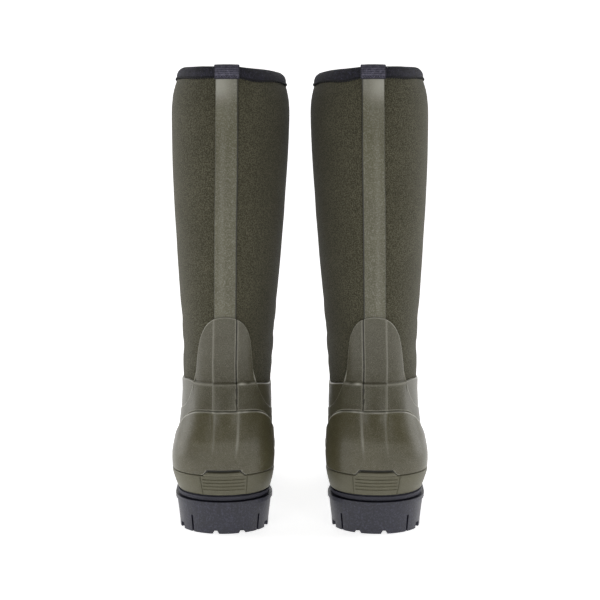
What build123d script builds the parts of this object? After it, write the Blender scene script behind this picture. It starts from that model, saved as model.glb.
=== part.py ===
from build123d import *
from functools import cache
import math
import os

# A pair of tall insulated pull-on boots: rubber galosh foot, neoprene shaft, lugged outsole.
# The left boot is modelled in its own frame: back of the heel at the origin, +Y to the toe,
# +X to the inner (medial) side, +Z up. It is then placed, and the right boot is its mirror
# image across the plane X = 0. Millimetres throughout.

# ---------------------------------------------------------------- placing of the pair
CENTRE_Y = 142.4675    # the boot moves back by this, to centre the pair front to back
GROUND = 1.8           # the tread's lowest face is this far below the boot frame's origin
TOE_OUT = 3.0          # each boot turns this many degrees outwards
HEEL_X = 64.5          # from the middle of the pair to the middle of each heel

# ---------------------------------------------------------------- layers of the wall
GAP = 0.3              # cement line between bonded layers
T_GALOSH = 1.8
T_NEOPRENE = 3.5
T_LINING = 1.3
T_OVERLAY = 1.5
T_OVERLAY_THIN = 1.2   # the overlays that cross the ankle
T_TAPE = 0.8
# insets of the layer faces from the outer form, which is the galosh's outer face
D_NEO = T_GALOSH + GAP
D_NEO_IN = D_NEO + T_NEOPRENE
D_LIN = D_NEO_IN + GAP
D_LIN_IN = D_LIN + T_LINING
D_TAPE = 1.0
D_STIFFENER_POCKET = 4.3

# ---------------------------------------------------------------- heights in the boot's frame
FLEX_LOW = 131.0       # bottom of the flexing ankle section
FLEX_HIGH = 200.0      # top of the flexing ankle section
TAPE_BASE = 107.0      # bottom of the channel for the back strip
RIM_TILT = 2.3         # degrees the rim falls towards the inner side
BIND = 8.4             # binding's lower edge below the rim

# ---------------------------------------------------------------- heights above the sole line
SEAT_FLOOR = 15.0      # bottom of the outsole's seat for the midsole
OUTSOLE_TOP = 26.0
LIP_TOP = 27.0
GALOSH_FLOOR = 32.6
SOCK_FLOOR = GALOSH_FLOOR + D_NEO
LINING_FLOOR = GALOSH_FLOOR + D_LIN
BOARD_TOP = LINING_FLOOR + 1.5
FOOTBED_TOP = BOARD_TOP + GAP + 5.5
COVER_TOP = FOOTBED_TOP + GAP + 0.9
BAND_TOP = 50.5        # top of the foxing band; the heel counter and toe cap start a gap above
STIFFENER_BASE = 41.0

# ---------------------------------------------------------------- widths and plan sizes
TAPE_W = 19.5
TREAD = 5.0            # depth of the tread grooves
TREAD_PITCH = 18.0
SEAT_INSET = 6.0
PATCH_HALF = 19.3      # half width of the patch at the back of the heel
SHANK = (-8.0, 8.0, 56.0, 164.0)      # x from, x to, y from, y to
Y_MIN, Y_MAX = -30.0, 320.0           # cutting prisms run from behind the heel to past the toe
HALF_SPAN = 90         # and this far to each side
RING_POINTS = 40       # points on each lofted outline
OUTLINE_Z = 36.0       # the sole pieces take their plan outline from the form at this height

# ---------------------------------------------------------------- tables of the outer form
# by height: half width, and y of the back line
BODY_Z = [-6, 10, 28, 32, 40, 50, 60, 75, 90, 103, 115, 129, 140, 150, 166, 184,
          202, 220, 238, 256, 274, 291, 309, 327, 345, 362, 371, 380, 388, 396, 412]
HALF_WIDTH = [38.4, 38.4, 38.8, 39.6, 41.4, 42.9, 43.4, 42.1, 40.3, 39.9, 39.9, 40.8, 41.8,
              42.3, 43.0, 44.1, 45.4, 46.7, 48.0, 49.2, 50.4, 51.1, 52.0, 52.7, 52.95, 53.1,
              52.8, 51.5, 49.2, 46.2, 42.3]
BACK_Y = [3.5, 3.5, 3.2, 2.6, 1.2, 0.0, -0.6, -0.5, 1.5, 4.5, 7.0, 9.0, 9.8, 9.9, 9.0, 7.3,
          5.2, 3.0, 0.8, -1.4, -3.6, -5.5, -7.3, -8.6, -9.4, -9.6, -9.4, -8.7, -7.7, -6.4, -4.0]
# by height: y of the front line
FRONT_Z = [-6, 20, 28, 36, 45, 52, 58, 64, 70, 75, 79, 83, 87, 92, 100, 108,
           116, 124, 132, 140, 150, 166, 184, 202, 256, 291, 327, 362, 380, 396, 412]
FRONT_Y = [290, 290.5, 291, 291, 290.5, 289, 286.5, 282, 275.5, 267.5, 258, 246, 233, 218,
           199, 185, 174.5, 167, 161.5, 157.5, 154, 151.5, 150.5, 150.5, 152, 153, 153.5,
           153, 151.5, 149, 146]
# by height: lengths of the rounded front and back ends of the outline
ENDS_Z = [-6, 35, 50, 60, 70, 79, 87, 95, 105, 116, 132, 150, 166, 184, 412]
NOSE = [92, 92, 96, 100, 107, 111, 105, 96, 88, 82, 77, 73, 71.2, 71.6, 75]
HEEL = [40, 40, 40, 40, 41, 42, 43.5, 46, 50, 54, 61, 70, 71.2, 71.6, 75]
# by height: how far the forefoot draws in, as a fraction of its width
DOME_Z = [26, 30, 34, 38, 42, 46, 55, 80, 108, 142]
DOME = [0.0, 0.015, 0.05, 0.085, 0.105, 0.115, 0.12, 0.15, 0.15, 0.0]
# by height: sideways shift of the centre line
SHIFT_Z = [-6, 28, 50, 62, 75, 90, 103, 115, 129, 150, 175, 202, 229, 256, 283, 309, 345,
           371, 412]
SHIFT_X = [-0.3, -0.3, -1.2, -1.0, 0.0, 1.4, 2.5, 3.0, 3.3, 3.8, 4.5, 4.9, 5.4, 5.9, 6.4,
           7.1, 7.7, 7.9, 7.9]
# by distance from the heel: half widths of the foot to the outer and inner side
FOOT_Y = [0, 40, 75, 110, 145, 175, 200, 225, 250, 292, 320]
LATERAL = [42, 42, 41, 39.2, 42.0, 45.8, 47.4, 47.6, 46.0, 41, 38]
MEDIAL = [42, 42, 39, 36, 39.6, 45.6, 49.7, 51.0, 50.2, 46.6, 44]
FOOT_HALF = 42.0       # the foot's half widths act relative to this one
SHAFT_TURN = 0.0524    # inward drift of the shaft's centre line per mm forward
SHAFT_TURN_Y = 75

# heights of the loft sections
FOOT_LEVELS = [8, 16, 24, 31, 38, 45, 52, 58, 64, 69, 73, 77, 81, 85, 90, 96, 103, 111, 120,
               130, 142, 156]
LEG_LEVELS = [92, 104, 116, 128, 140, 152, 168, 188, 212, 240, 270, 300, 330, 352, 368, 380,
              390, 404]
BAND_LEVELS = [14, 20, 26, 32, 38, 44, 50, 56, 64]


def tangents(xs, ys):
    """Monotone (Fritsch-Butland) tangents of a table."""
    n = len(xs)
    widths = [xs[i + 1] - xs[i] for i in range(n - 1)]
    slopes = [(ys[i + 1] - ys[i]) / widths[i] for i in range(n - 1)]
    result = [slopes[0]] + [0.0] * (n - 2) + [slopes[-1]]
    for i in range(1, n - 1):
        if slopes[i - 1] * slopes[i] > 0:
            before = 2 * widths[i] + widths[i - 1]
            after = widths[i] + 2 * widths[i - 1]
            result[i] = (before + after) / (before / slopes[i - 1] + after / slopes[i])
    return result


class Table:
    """Smooth, monotone interpolation of a table, flat beyond its ends."""

    def __init__(self, xs, ys):
        self.xs, self.ys, self.slopes = xs, ys, tangents(xs, ys)

    def __call__(self, x):
        xs, ys, slopes = self.xs, self.ys, self.slopes
        if x <= xs[0]:
            return ys[0]
        if x >= xs[-1]:
            return ys[-1]
        i = 0
        while xs[i + 1] < x:
            i += 1
        width = xs[i + 1] - xs[i]
        t = (x - xs[i]) / width
        return ((1 + 2 * t) * (1 - t) ** 2 * ys[i] + t * (1 - t) ** 2 * width * slopes[i]
                + t * t * (3 - 2 * t) * ys[i + 1] + t * t * (t - 1) * width * slopes[i + 1])


half_width, back_y = Table(BODY_Z, HALF_WIDTH), Table(BODY_Z, BACK_Y)
front_y = Table(FRONT_Z, FRONT_Y)
nose_length, heel_length = Table(ENDS_Z, NOSE), Table(ENDS_Z, HEEL)
shift_x = Table(SHIFT_Z, SHIFT_X)
dome = Table(DOME_Z, DOME)
lateral, medial = Table(FOOT_Y, LATERAL), Table(FOOT_Y, MEDIAL)

# edges of pieces, as heights by y
galosh_top = Table([-30, 8, 50, 82, 115, 150, 200, 330],
                   [129.5, 129.0, 123.0, 122.0, 127.0, 140.0, 150.0, 150.0])
rim = Table([-40, -8, 25, 75, 115, 160, 330],
            [397.6, 397.5, 396.6, 394.2, 392.6, 392.0, 392.0])
counter_top = Table([-30, 6, 20, 35, 48, 58, 66, 71, 330],
                    [107.2, 107.0, 104.0, 97.0, 86.0, 72.0, 58.0, 44.0, 10.0])


# ================================================================ outer form
def smooth(start, end, x):
    """A smooth step from 0 at start to 1 at end."""
    t = min(1.0, max(0.0, (x - start) / (end - start)))
    return t * t * (3 - 2 * t)


def form(theta, z):
    """A point of the outer form at height z. theta 0 is the back, pi the front,
    0 to pi the inner side."""
    back, front = back_y(z), front_y(z)
    y = back + (front - back) * (1 - math.cos(theta)) / 2
    nose = min(nose_length(z), (front - back) - heel_length(z))
    heel = min(heel_length(z), (front - back) / 2)
    inner = math.sin(theta) >= 0
    width = 1.0
    if y > front - nose:
        power = 2.0 + 0.3 * (1 - smooth(60, 100, z))
        width *= max(0.0, 1 - min(1.0, (y - (front - nose)) / nose) ** power) ** 0.5
    if y < back + heel:
        width *= max(0.0, 1 - min(1.0, (back + heel - y) / heel) ** 2.15) ** 0.5
    shaft = smooth(48, 128, z)      # 0 in the foot, 1 in the shaft
    side = medial(y) if inner else lateral(y)
    width *= half_width(z) * ((1 - shaft) * side / FOOT_HALF + shaft)
    width *= 1 - dome(z) * smooth(95, 165, y)
    x = (shift_x(z) + SHAFT_TURN * smooth(80, 150, z) * (y - SHAFT_TURN_Y)
         + 8.0 * smooth(130, 300, y) * (1 - shaft))
    return x + (width if inner else -width), y


def back_x(z):
    return form(0.0, z)[0]


PATCH_X = back_x(42)


def ring(z, inset, count=RING_POINTS):
    """Points round the form at height z, inset (outset if negative), following slopes
    by taking the form that much higher."""
    points = []
    for i in range(count):
        theta = 2 * math.pi * (i + 0.5) / count
        x0, y0 = form(theta - 1e-3, z + inset)
        x1, y1 = form(theta + 1e-3, z + inset)
        x, y = form(theta, z + inset)
        dx, dy = x1 - x0, y1 - y0
        length = math.hypot(dx, dy)
        points.append((x + inset * -dy / length, y + inset * dx / length))
    return points


def loft_rings(rings):
    """A loft through (height, points) pairs."""
    parameters = [float(i) for i in range(RING_POINTS + 1)]
    with BuildPart() as solid:
        for z, points in rings:
            with BuildSketch(Plane.XY.offset(z)):
                with BuildLine():
                    add(Edge.make_spline(points, periodic=True, parameters=parameters))
                make_face()
        loft()
    return solid.part


@cache
def foot(inset):
    """The foot of the form as a solid."""
    return loft_rings([(z, ring(z, inset)) for z in FOOT_LEVELS])


@cache
def leg(inset):
    """The form from the ankle to above the rim as a solid."""
    return loft_rings([(z, ring(z, inset)) for z in LEG_LEVELS])


def band_solid(inset):
    """The form round the band, with an inset that is a function of height."""
    return loft_rings([(z, ring(z, inset(z))) for z in BAND_LEVELS])


def outline_solid(*steps):
    """The foot's plan outline as a solid, from (height, inset) steps."""
    return loft_rings([(z, ring(OUTLINE_Z - inset, inset)) for z, inset in steps])


# ================================================================ edge lines
def sole_rise(y):
    """Rise of the sole line above its height at the heel: lower under the ball, up at the toe."""
    return -6.0 * smooth(60, 175, y) + 12.0 * max(0.0, (y - 190) / 100) ** 2


def ground_line(y):
    """Underside of the tread: flat to the ball, then toe spring."""
    return -GROUND + 10.0 * max(0.0, (y - 200) / 92) ** 2


def at(height):
    """The sole line, raised."""
    return lambda y: height + sole_rise(y)


def offset_line(line, offset):
    return lambda y: line(y) + offset


# ================================================================ regions
# Bounds given as plain numbers mostly just have to clear the piece being cut.
def slab(low, high, y0=Y_MIN, y1=Y_MAX, step=12.5):
    """Everything between two heights, each a number or a function of y, across the width."""
    count = max(2, int(round((y1 - y0) / step)))
    ys = [y0 + (y1 - y0) * i / count for i in range(count + 1)]
    with BuildPart() as prism:
        with BuildSketch(Plane.YZ):
            with BuildLine():
                a = Spline(*[(y, low(y)) for y in ys]) if callable(low) else Line((y0, low), (y1, low))
                b = Spline(*[(y, high(y)) for y in ys]) if callable(high) else Line((y0, high), (y1, high))
                Line(a @ 0, b @ 0)
                Line(a @ 1, b @ 1)
            make_face()
        extrude(amount=HALF_SPAN, both=True)
    return prism.part


def collar(low, high, y0=Y_MIN, y1=Y_MAX, step=12.5):
    """A slab tilted with the rim."""
    return slab(low, high, y0, y1, step).rotate(Axis((7.9, 0, 397.5), (0, 1, 0)), RIM_TILT)


def up_to_rim(low):
    return collar(250, rim).fuse(slab(low, 300))


def block(x0, x1, y0, y1, z0, z1):
    with BuildPart(Location(((x0 + x1) / 2, (y0 + y1) / 2, (z0 + z1) / 2))) as solid:
        Box(x1 - x0, y1 - y0, z1 - z0)
    return solid.part


def patch_block(half, z0, z1):
    """The straight-sided region of the patch at the back of the heel."""
    return block(-half + PATCH_X, half + PATCH_X, -20, 22, z0, z1)


def frontal(centre, half_outline, bottom, y0, y1):
    """A smooth closed outline in the XZ plane, symmetric about x = centre, as a prism.
    half_outline: (distance from centre, z), top to bottom; bottom: z on the centre."""
    points = [(centre - x, z) for x, z in half_outline] + [(centre, bottom)]
    points += [(centre + x, z) for x, z in reversed(half_outline)]
    with BuildPart() as prism:
        with BuildSketch(Plane.XZ.offset(-y1)):
            with BuildLine():
                Spline(*points, periodic=True)
            make_face()
        extrude(amount=y1 - y0)
    return prism.part


def tape_strip(half, z0, z1):
    """A band of constant width down the back, following the back line of the form."""
    zs = [z0 + (z1 - z0) * i / 8 for i in range(9)]
    with BuildPart() as strip:
        with BuildSketch(Plane.XZ.offset(-30)):
            with BuildLine():
                a = Spline(*[(back_x(z) - half, z) for z in zs])
                b = Spline(*[(back_x(z) + half, z) for z in zs])
                Line(a @ 0, b @ 0)
                Line(a @ 1, b @ 1)
            make_face()
        extrude(amount=65)
    return strip.part


def ledge_prism(half_low, low, half_high, high):
    """The kick ledge seen from behind: a low bar with sloping ends."""
    with BuildPart() as prism:
        with BuildSketch(Plane.XZ.offset(-22)):
            with BuildLine():
                Polyline((PATCH_X - half_low, low), (PATCH_X + half_low, low),
                         (PATCH_X + half_high, high), (PATCH_X - half_high, high), close=True)
            make_face()
        extrude(amount=42)
    return prism.part


def overlap(solid, region):
    """The part of a solid inside a region."""
    with BuildPart() as common:
        add(solid)
        add(region, mode=Mode.INTERSECT)
    return common.part


def layer(hull, outer, inner, region):
    """The wall between two insets of the foot or leg, inside a region."""
    with BuildPart() as wall:
        add(hull(outer))
        add(region, mode=Mode.INTERSECT)
        add(hull(inner), mode=Mode.SUBTRACT)
    return wall.part


# ================================================================ outsole, midsole, shank
def chevron(y, half, end, apex, width):
    """Outline of a V groove; end and apex are the y offsets of its rear edge."""
    return [(-half, y + end), (0, y + apex), (half, y + end),
            (half, y + end + width), (0, y + apex + width), (-half, y + end + width)]


def tread_grooves():
    rows = [chevron(142.0 + TREAD_PITCH * i, 66, -17, 3, 5) for i in range(8)]
    rows += [chevron(20.0 + TREAD_PITCH * i, 50, 7, -3, 4.5) for i in range(3)]
    with BuildPart() as grooves:
        with BuildSketch(Plane.XY.offset(-6)):
            for points in rows:
                with BuildLine():
                    Polyline(*points, close=True)
                make_face()
        extrude(amount=30)
        add(slab(-10, offset_line(ground_line, TREAD)), mode=Mode.INTERSECT)
    return grooves.part


def above_ground():
    """Everything above a true plane under the heel and ball, then the toe spring."""
    end_slope = 0.2836
    with BuildPart() as region:
        with BuildSketch(Plane.YZ):
            with BuildLine():
                flat = Line((Y_MIN, -GROUND), (200, -GROUND))
                spring = Spline(*[(y, ground_line(y)) for y in (200, 224, 248, 272, 296, 320)],
                                tangents=((1, 0), (1, end_slope)))
                Polyline(spring @ 1, (Y_MAX, 60), (Y_MIN, 60), flat @ 0)
            make_face()
        extrude(amount=HALF_SPAN, both=True)
    return region.part


def outsole():
    with BuildPart() as piece:
        add(outline_solid((-6, 1.9), (4, 1.3), (12, 0.4), (20, -0.6), (28, -1.2), (38, -1.4)))
        add(slab(-10, at(OUTSOLE_TOP)), mode=Mode.INTERSECT)
        add(above_ground(), mode=Mode.INTERSECT)
        # lip round the top edge
        add(overlap(outline_solid((10, -1.6), (22, -2.0), (34, -2.4)),
                    slab(at(23.6), at(LIP_TOP))))
        # arch, in front of the heel block
        with BuildSketch(Plane.YZ):
            with BuildLine():
                FilletPolyline((72, -8), (80, 8.5), (120, 8.5), (132, -8), radius=3)
                Line((132, -8), (72, -8))
            make_face()
        extrude(amount=HALF_SPAN, both=True, mode=Mode.SUBTRACT)
        add(tread_grooves(), mode=Mode.SUBTRACT)
        # seat for the midsole
        add(overlap(outline_solid(*[(z, SEAT_INSET) for z in (4, 24, 44)]),
                    slab(at(SEAT_FLOOR), at(40.0))), mode=Mode.SUBTRACT)
        # two V notches at the back of the heel
        for notch_x in (-8.2, 14.6):
            with BuildSketch(Plane.XZ.offset(-14)):
                with BuildLine():
                    Polyline((notch_x - 3.6, -3), (notch_x, 2.9), (notch_x + 3.6, -3), close=True)
                make_face()
            extrude(amount=30, mode=Mode.SUBTRACT)
        # two upright slots beside them
        for slot_x, angle in ((-28.8, -48), (31.2, 52)):
            with Locations(Location((slot_x, 13.0, 5.0), (0, 0, angle))):
                Box(2.0, 12.0, 16.4, mode=Mode.SUBTRACT)
        # one corner notch on each side
        for side in (-1, 1):
            with Locations(Location((side * 37.5, 29.0, 0.0), (0, 0, side * 72))):
                Box(5.0, 12.0, 6.4, mode=Mode.SUBTRACT)
    return piece.part


SHANK_SEAT_FLOOR = 30.4


def midsole():
    x0, x1, y0, y1 = SHANK
    with BuildPart() as piece:
        # core in the outsole's seat, overlapping the plate slightly
        add(outline_solid(*[(z, SEAT_INSET + GAP) for z in (4, 24, 44)]))
        add(slab(at(SEAT_FLOOR + GAP), at(LIP_TOP + GAP + 0.05)), mode=Mode.INTERSECT)
        # plate over the outsole, and the bead round its edge
        add(overlap(outline_solid((10, 2.2), (30, 2.1), (50, 2.0)),
                    slab(at(LIP_TOP + GAP), at(GALOSH_FLOOR - GAP))))
        add(overlap(outline_solid((10, 0.4), (30, 0.3), (50, 0.2)), slab(at(28.2), at(31.3))))
        # seat for the shank
        add(overlap(block(x0 - GAP, x1 + GAP, y0 - GAP, y1 + GAP, 0, 60),
                    slab(at(SHANK_SEAT_FLOOR), at(60.0))), mode=Mode.SUBTRACT)
    return piece.part


def shank():
    base = SHANK_SEAT_FLOOR + GAP
    return overlap(block(*SHANK, 0, 60), slab(at(base), at(base + 1.4)))


# ================================================================ rubber foot
@cache
def tape_channel():
    """Cut through the galosh and the rear overlay for the back strip."""
    return layer(leg, 0.7, D_NEO + 0.2, tape_strip(TAPE_W / 2 + GAP, TAPE_BASE, 400.0))


def back_strip():
    with BuildPart() as piece:
        add(layer(leg, D_TAPE, D_TAPE + T_TAPE, tape_strip(TAPE_W / 2, TAPE_BASE + GAP, 400.0)))
        add(collar(60, offset_line(rim, -BIND - GAP), -30, 60), mode=Mode.INTERSECT)
    return piece.part


def galosh():
    with BuildPart() as piece:
        add(foot(0.0))
        add(slab(at(GALOSH_FLOOR), galosh_top), mode=Mode.INTERSECT)
        add(overlap(foot(T_GALOSH), slab(at(GALOSH_FLOOR + T_GALOSH), 170)), mode=Mode.SUBTRACT)
        add(tape_channel(), mode=Mode.SUBTRACT)
    return piece.part


def band_inset(z):
    """The foxing band stands out further towards its top."""
    return -1.0 - 1.2 * smooth(30, 48, z)


def foxing_band():
    with BuildPart() as piece:
        add(band_solid(band_inset))
        add(slab(at(GALOSH_FLOOR), at(BAND_TOP)), mode=Mode.INTERSECT)
        add(foot(-GAP), mode=Mode.SUBTRACT)
        add(patch_block(PATCH_HALF + GAP, 20, 60), mode=Mode.SUBTRACT)
    return piece.part


def heel_patch():
    """Grooved patch in the break of the foxing band, with the kick ledge on top."""
    with BuildPart() as piece:
        add(band_solid(lambda z: band_inset(z) - 0.3))
        add(patch_block(PATCH_HALF, 32.9, BAND_TOP), mode=Mode.INTERSECT)
        add(overlap(band_solid(lambda z: -3.2), ledge_prism(18.6, 50.4, 14.8, 53.8)))
        add(foot(-GAP), mode=Mode.SUBTRACT)
        # level grooves, each with an arc along the patch as its floor
        for z in (38.2, 41.3, 44.4, 47.5):
            floor = sorted((x, y) for x, y in ring(z, band_inset(z) + 0.4, 80)
                           if abs(x - PATCH_X) < 18.5 and y < 60)
            with BuildSketch(Plane.XY.offset(z - 0.5)):
                with BuildLine():
                    arc = ThreePointArc(floor[0], floor[len(floor) // 2], floor[-1])
                    Polyline(arc @ 0, ((arc @ 0).X, -15), ((arc @ 1).X, -15), arc @ 1)
                make_face()
            extrude(amount=1.0, mode=Mode.SUBTRACT)
    return piece.part


def heel_counter():
    with BuildPart() as piece:
        add(foot(-GAP - T_OVERLAY))
        add(slab(20, counter_top, -20.0, 72.0, step=6.0), mode=Mode.INTERSECT)
        add(slab(at(BAND_TOP + GAP), 130, -30.0, 90.0), mode=Mode.INTERSECT)
        add(foot(-GAP), mode=Mode.SUBTRACT)
        # clearance round the kick ledge
        add(ledge_prism(19.4, 50.3, 15.4, 54.3), mode=Mode.SUBTRACT)
    return piece.part


def toe_cap():
    with BuildPart() as region:
        add(slab(at(BAND_TOP + GAP), 120, 200, 320))
        with BuildSketch(Plane.YZ):
            with BuildLine():
                edge = Spline((232, 20), (231, 50), (227, 75), (222, 100))
                Line(edge @ 1, (330, 100))
                Line((330, 100), (330, 20))
                Line((330, 20), edge @ 0)
            make_face()
        extrude(amount=HALF_SPAN, both=True, mode=Mode.INTERSECT)
    return layer(foot, -GAP - T_OVERLAY, -GAP, region.part)


# ================================================================ overlays that cross the ankle
# half outlines seen along Y: distance from the centre line, z
ACHILLES_OUTLINE = [(10.1, 185.8), (16, 181), (20.5, 173), (23, 163.5), (24.6, 149.6),
                    (26.4, 131.6), (30.5, 118.3), (39, 104), (46, 92)]
INSTEP_OUTLINE = [(9, 196), (17, 190), (22, 180), (24.5, 165), (26, 145), (29, 126),
                  (27, 111), (17, 102)]


def overlay(outline, lower_edge, upper_outer, y0, y1):
    """A sheet that lies on the galosh, steps over its top edge and lies on the neoprene.
    upper_outer is the inset of its outer face above the step."""
    step_low = offset_line(galosh_top, GAP)
    step_high = offset_line(galosh_top, 2.3)
    with BuildPart() as sheet:
        add(foot(-GAP - T_OVERLAY_THIN))
        add(slab(lower_edge, step_high, y0, y1, step=6.0), mode=Mode.INTERSECT)
        add(overlap(leg(upper_outer),
                    slab(offset_line(step_high, -1.0), 215, y0 - 0.2, y1 - 0.2, step=6.0)))
        add(overlap(foot(-GAP), slab(20, step_low, y0 - 5, y1 + 5, step=6.0)),
            mode=Mode.SUBTRACT)
        add(leg(D_NEO - GAP), mode=Mode.SUBTRACT)
        add(outline, mode=Mode.INTERSECT)
    return sheet.part


def achilles_overlay():
    # side view region that limits how far the overlay wraps forward
    with BuildPart() as wing:
        with BuildSketch(Plane.YZ):
            with BuildLine():
                front = Spline((25, 215), (25.5, 150), (28, 128), (34, 117), (44, 106), (52, 94),
                               (58, 80), (61.5, 60))
                Polyline(front @ 1, (-40, 60), (-40, 215), front @ 0)
            make_face()
        extrude(amount=HALF_SPAN, both=True)
    outline = frontal(back_x(150), ACHILLES_OUTLINE, 88, -30, 62)
    with BuildPart() as piece:
        add(overlay(outline, offset_line(counter_top, 0.4), -0.3, -20.0, 62.0))
        add(wing.part, mode=Mode.INTERSECT)
        add(tape_channel(), mode=Mode.SUBTRACT)
    return piece.part


def instep_overlay():
    outline = frontal(form(math.pi, 150)[0], INSTEP_OUTLINE, 99, 92, 230)
    return overlay(outline, 90, 0.6, 92.0, 230.0)


# ================================================================ neoprene, stiffeners, lining
def heel_zone(clearance=0.0):
    return slab(at(STIFFENER_BASE + clearance), 92 - clearance, -30, 64 - clearance)


def toe_zone(clearance=0.0):
    return slab(at(STIFFENER_BASE + clearance), 120, 228 + clearance, 320)


def neoprene_sock():
    with BuildPart() as piece:
        add(foot(D_NEO))
        add(slab(at(SOCK_FLOOR), FLEX_LOW - GAP), mode=Mode.INTERSECT)
        add(overlap(foot(D_NEO_IN), slab(at(SOCK_FLOOR + T_NEOPRENE), 170)), mode=Mode.SUBTRACT)
        # pockets for the heel stiffener and the toe puff
        for zone in (heel_zone(), toe_zone()):
            add(overlap(foot(D_STIFFENER_POCKET), zone), mode=Mode.SUBTRACT)
    return piece.part


def heel_stiffener():
    return layer(foot, D_STIFFENER_POCKET + GAP, D_NEO_IN, heel_zone(GAP))


def toe_puff():
    return layer(foot, D_STIFFENER_POCKET + GAP, D_NEO_IN, toe_zone(GAP))


def foot_lining():
    return layer(foot, D_LIN, D_LIN_IN, slab(at(LINING_FLOOR), FLEX_LOW - GAP))


def neoprene_ankle():
    return layer(leg, D_NEO, D_NEO_IN, slab(FLEX_LOW, FLEX_HIGH - GAP))


def neoprene_shaft():
    return layer(leg, D_NEO, D_NEO_IN, up_to_rim(FLEX_HIGH))


def shaft_lining():
    return layer(leg, D_LIN, D_LIN_IN, up_to_rim(FLEX_LOW))


# ================================================================ insoles
def insole_board():
    return overlap(foot(D_LIN_IN + GAP), slab(at(LINING_FLOOR), at(BOARD_TOP)))


def footbed():
    return overlap(foot(D_LIN_IN + 1.8), slab(at(BOARD_TOP + GAP), at(FOOTBED_TOP)))


def footbed_cover():
    return overlap(foot(D_LIN_IN + 1.9), slab(at(FOOTBED_TOP + GAP), at(COVER_TOP)))


# ================================================================ collar binding and pull tab
def top_binding():
    """A channel folded over the rim."""
    region = collar(offset_line(rim, -BIND), offset_line(rim, 1.6))
    slot = layer(leg, 1.8, D_LIN_IN + 0.3, collar(360, offset_line(rim, 0.3)))
    with BuildPart() as piece:
        add(layer(leg, 0.9, D_LIN_IN + 1.2, region))
        add(slot, mode=Mode.SUBTRACT)
    return piece.part


def pull_tab():
    """A strap folded over the binding at the back."""
    slot = layer(leg, 0.6, D_LIN_IN + 1.5, collar(340, offset_line(rim, 1.9)))
    below_binding = layer(leg, -2.0, 3.0, collar(340, offset_line(rim, -BIND), -40, 60))
    with BuildPart() as piece:
        add(leg(-0.4))
        add(tape_strip(10.5, 355, 402), mode=Mode.INTERSECT)
        add(collar(offset_line(rim, -30.0), offset_line(rim, 3.2), -30, 60, step=6.0),
            mode=Mode.INTERSECT)
        add(leg(D_LIN_IN + 2.5), mode=Mode.SUBTRACT)
        add(slot, mode=Mode.SUBTRACT)
        # the outer leg of the tab stops at the lower edge of the binding
        add(below_binding, mode=Mode.SUBTRACT)
    return piece.part


# ================================================================ placing and export
# each function's name is also the name of its piece
PIECES = (outsole, midsole, shank, back_strip, galosh, foxing_band, heel_patch, heel_counter,
          toe_cap, achilles_overlay, instep_overlay, neoprene_sock, heel_stiffener, toe_puff,
          foot_lining, neoprene_ankle, neoprene_shaft, shaft_lining, insole_board, footbed,
          footbed_cover, top_binding, pull_tab)


def export(part, name):
    part.label = name
    export_step(part, f"parts/{name}.step")


os.makedirs("parts", exist_ok=True)
place = Location((-HEEL_X, -CENTRE_Y, GROUND), (0, 0, TOE_OUT))
for build in PIECES:
    solid = build()
    with BuildPart() as left:
        add(solid.moved(place))
    export(left.part, "left_" + build.__name__)
    with BuildPart() as right:
        add(solid.moved(place))
        mirror(about=Plane.YZ, mode=Mode.REPLACE)
    export(right.part, "right_" + build.__name__)
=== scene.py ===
"""A pair of tall rubber and neoprene boots, standing side by side with their heels to the camera.

Each piece is shaped once, in millimetres, in the left boot's own frame: +x towards the inner side
of the boot, y from the heel (about 0) to the toe (about 290), z up from the ground. The right boot
is its mirror image. In the scene (metres, +z up) the toes point to +y, turned slightly outwards.
"""
import bpy
import bmesh
import math
from collections import namedtuple
import numpy as np
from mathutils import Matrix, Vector


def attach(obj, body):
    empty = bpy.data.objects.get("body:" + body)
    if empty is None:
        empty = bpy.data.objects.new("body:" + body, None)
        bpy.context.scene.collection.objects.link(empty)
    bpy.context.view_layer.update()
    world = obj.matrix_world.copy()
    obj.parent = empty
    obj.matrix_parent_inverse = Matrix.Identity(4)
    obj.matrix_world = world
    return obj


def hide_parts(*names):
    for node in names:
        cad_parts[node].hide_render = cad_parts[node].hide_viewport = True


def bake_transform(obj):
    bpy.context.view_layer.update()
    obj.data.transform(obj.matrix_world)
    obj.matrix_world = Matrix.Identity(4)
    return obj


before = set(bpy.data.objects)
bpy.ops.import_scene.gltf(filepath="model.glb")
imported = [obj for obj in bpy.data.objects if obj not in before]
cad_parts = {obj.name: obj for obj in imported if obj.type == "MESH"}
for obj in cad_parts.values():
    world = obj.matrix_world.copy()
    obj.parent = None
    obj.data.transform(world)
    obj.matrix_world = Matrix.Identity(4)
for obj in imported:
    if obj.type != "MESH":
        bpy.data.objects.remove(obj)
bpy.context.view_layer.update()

# ------------------------------------------------------------------ placing and main sizes, mm
PI = math.pi
CENTRE_Y = 142.4675              # middle of the boot's length
HEEL_X = 64.5                    # heel from the middle of the pair
TURN_OUT = math.radians(3.0)
GROUND = 1.8                     # the boot's z = 0 above the floor

# Depths below the outer form; minus stands proud of it
FOAM_OUT, FOAM_IN = 2.1, 5.6
LINING_OUT, LINING_IN = 5.9, 7.2
OVERLAY = -1.8                   # counter and toe cap
ANKLE_OVERLAY = -1.5             # Achilles and instep panels
TUCK = 0.15                      # where overlay edges end
BAND_TUCK = 0.2                  # where foxing edges end

# Heights above the sole line
BAND_FOOT, BAND_TOP = 32.6, 50.5
OVERLAY_FOOT = 50.9
HEEL_BAND_TOP = 50.6             # plain height, behind the heel
BACK_X_HEIGHT = 54.0             # where the heel's centre line is read


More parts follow.
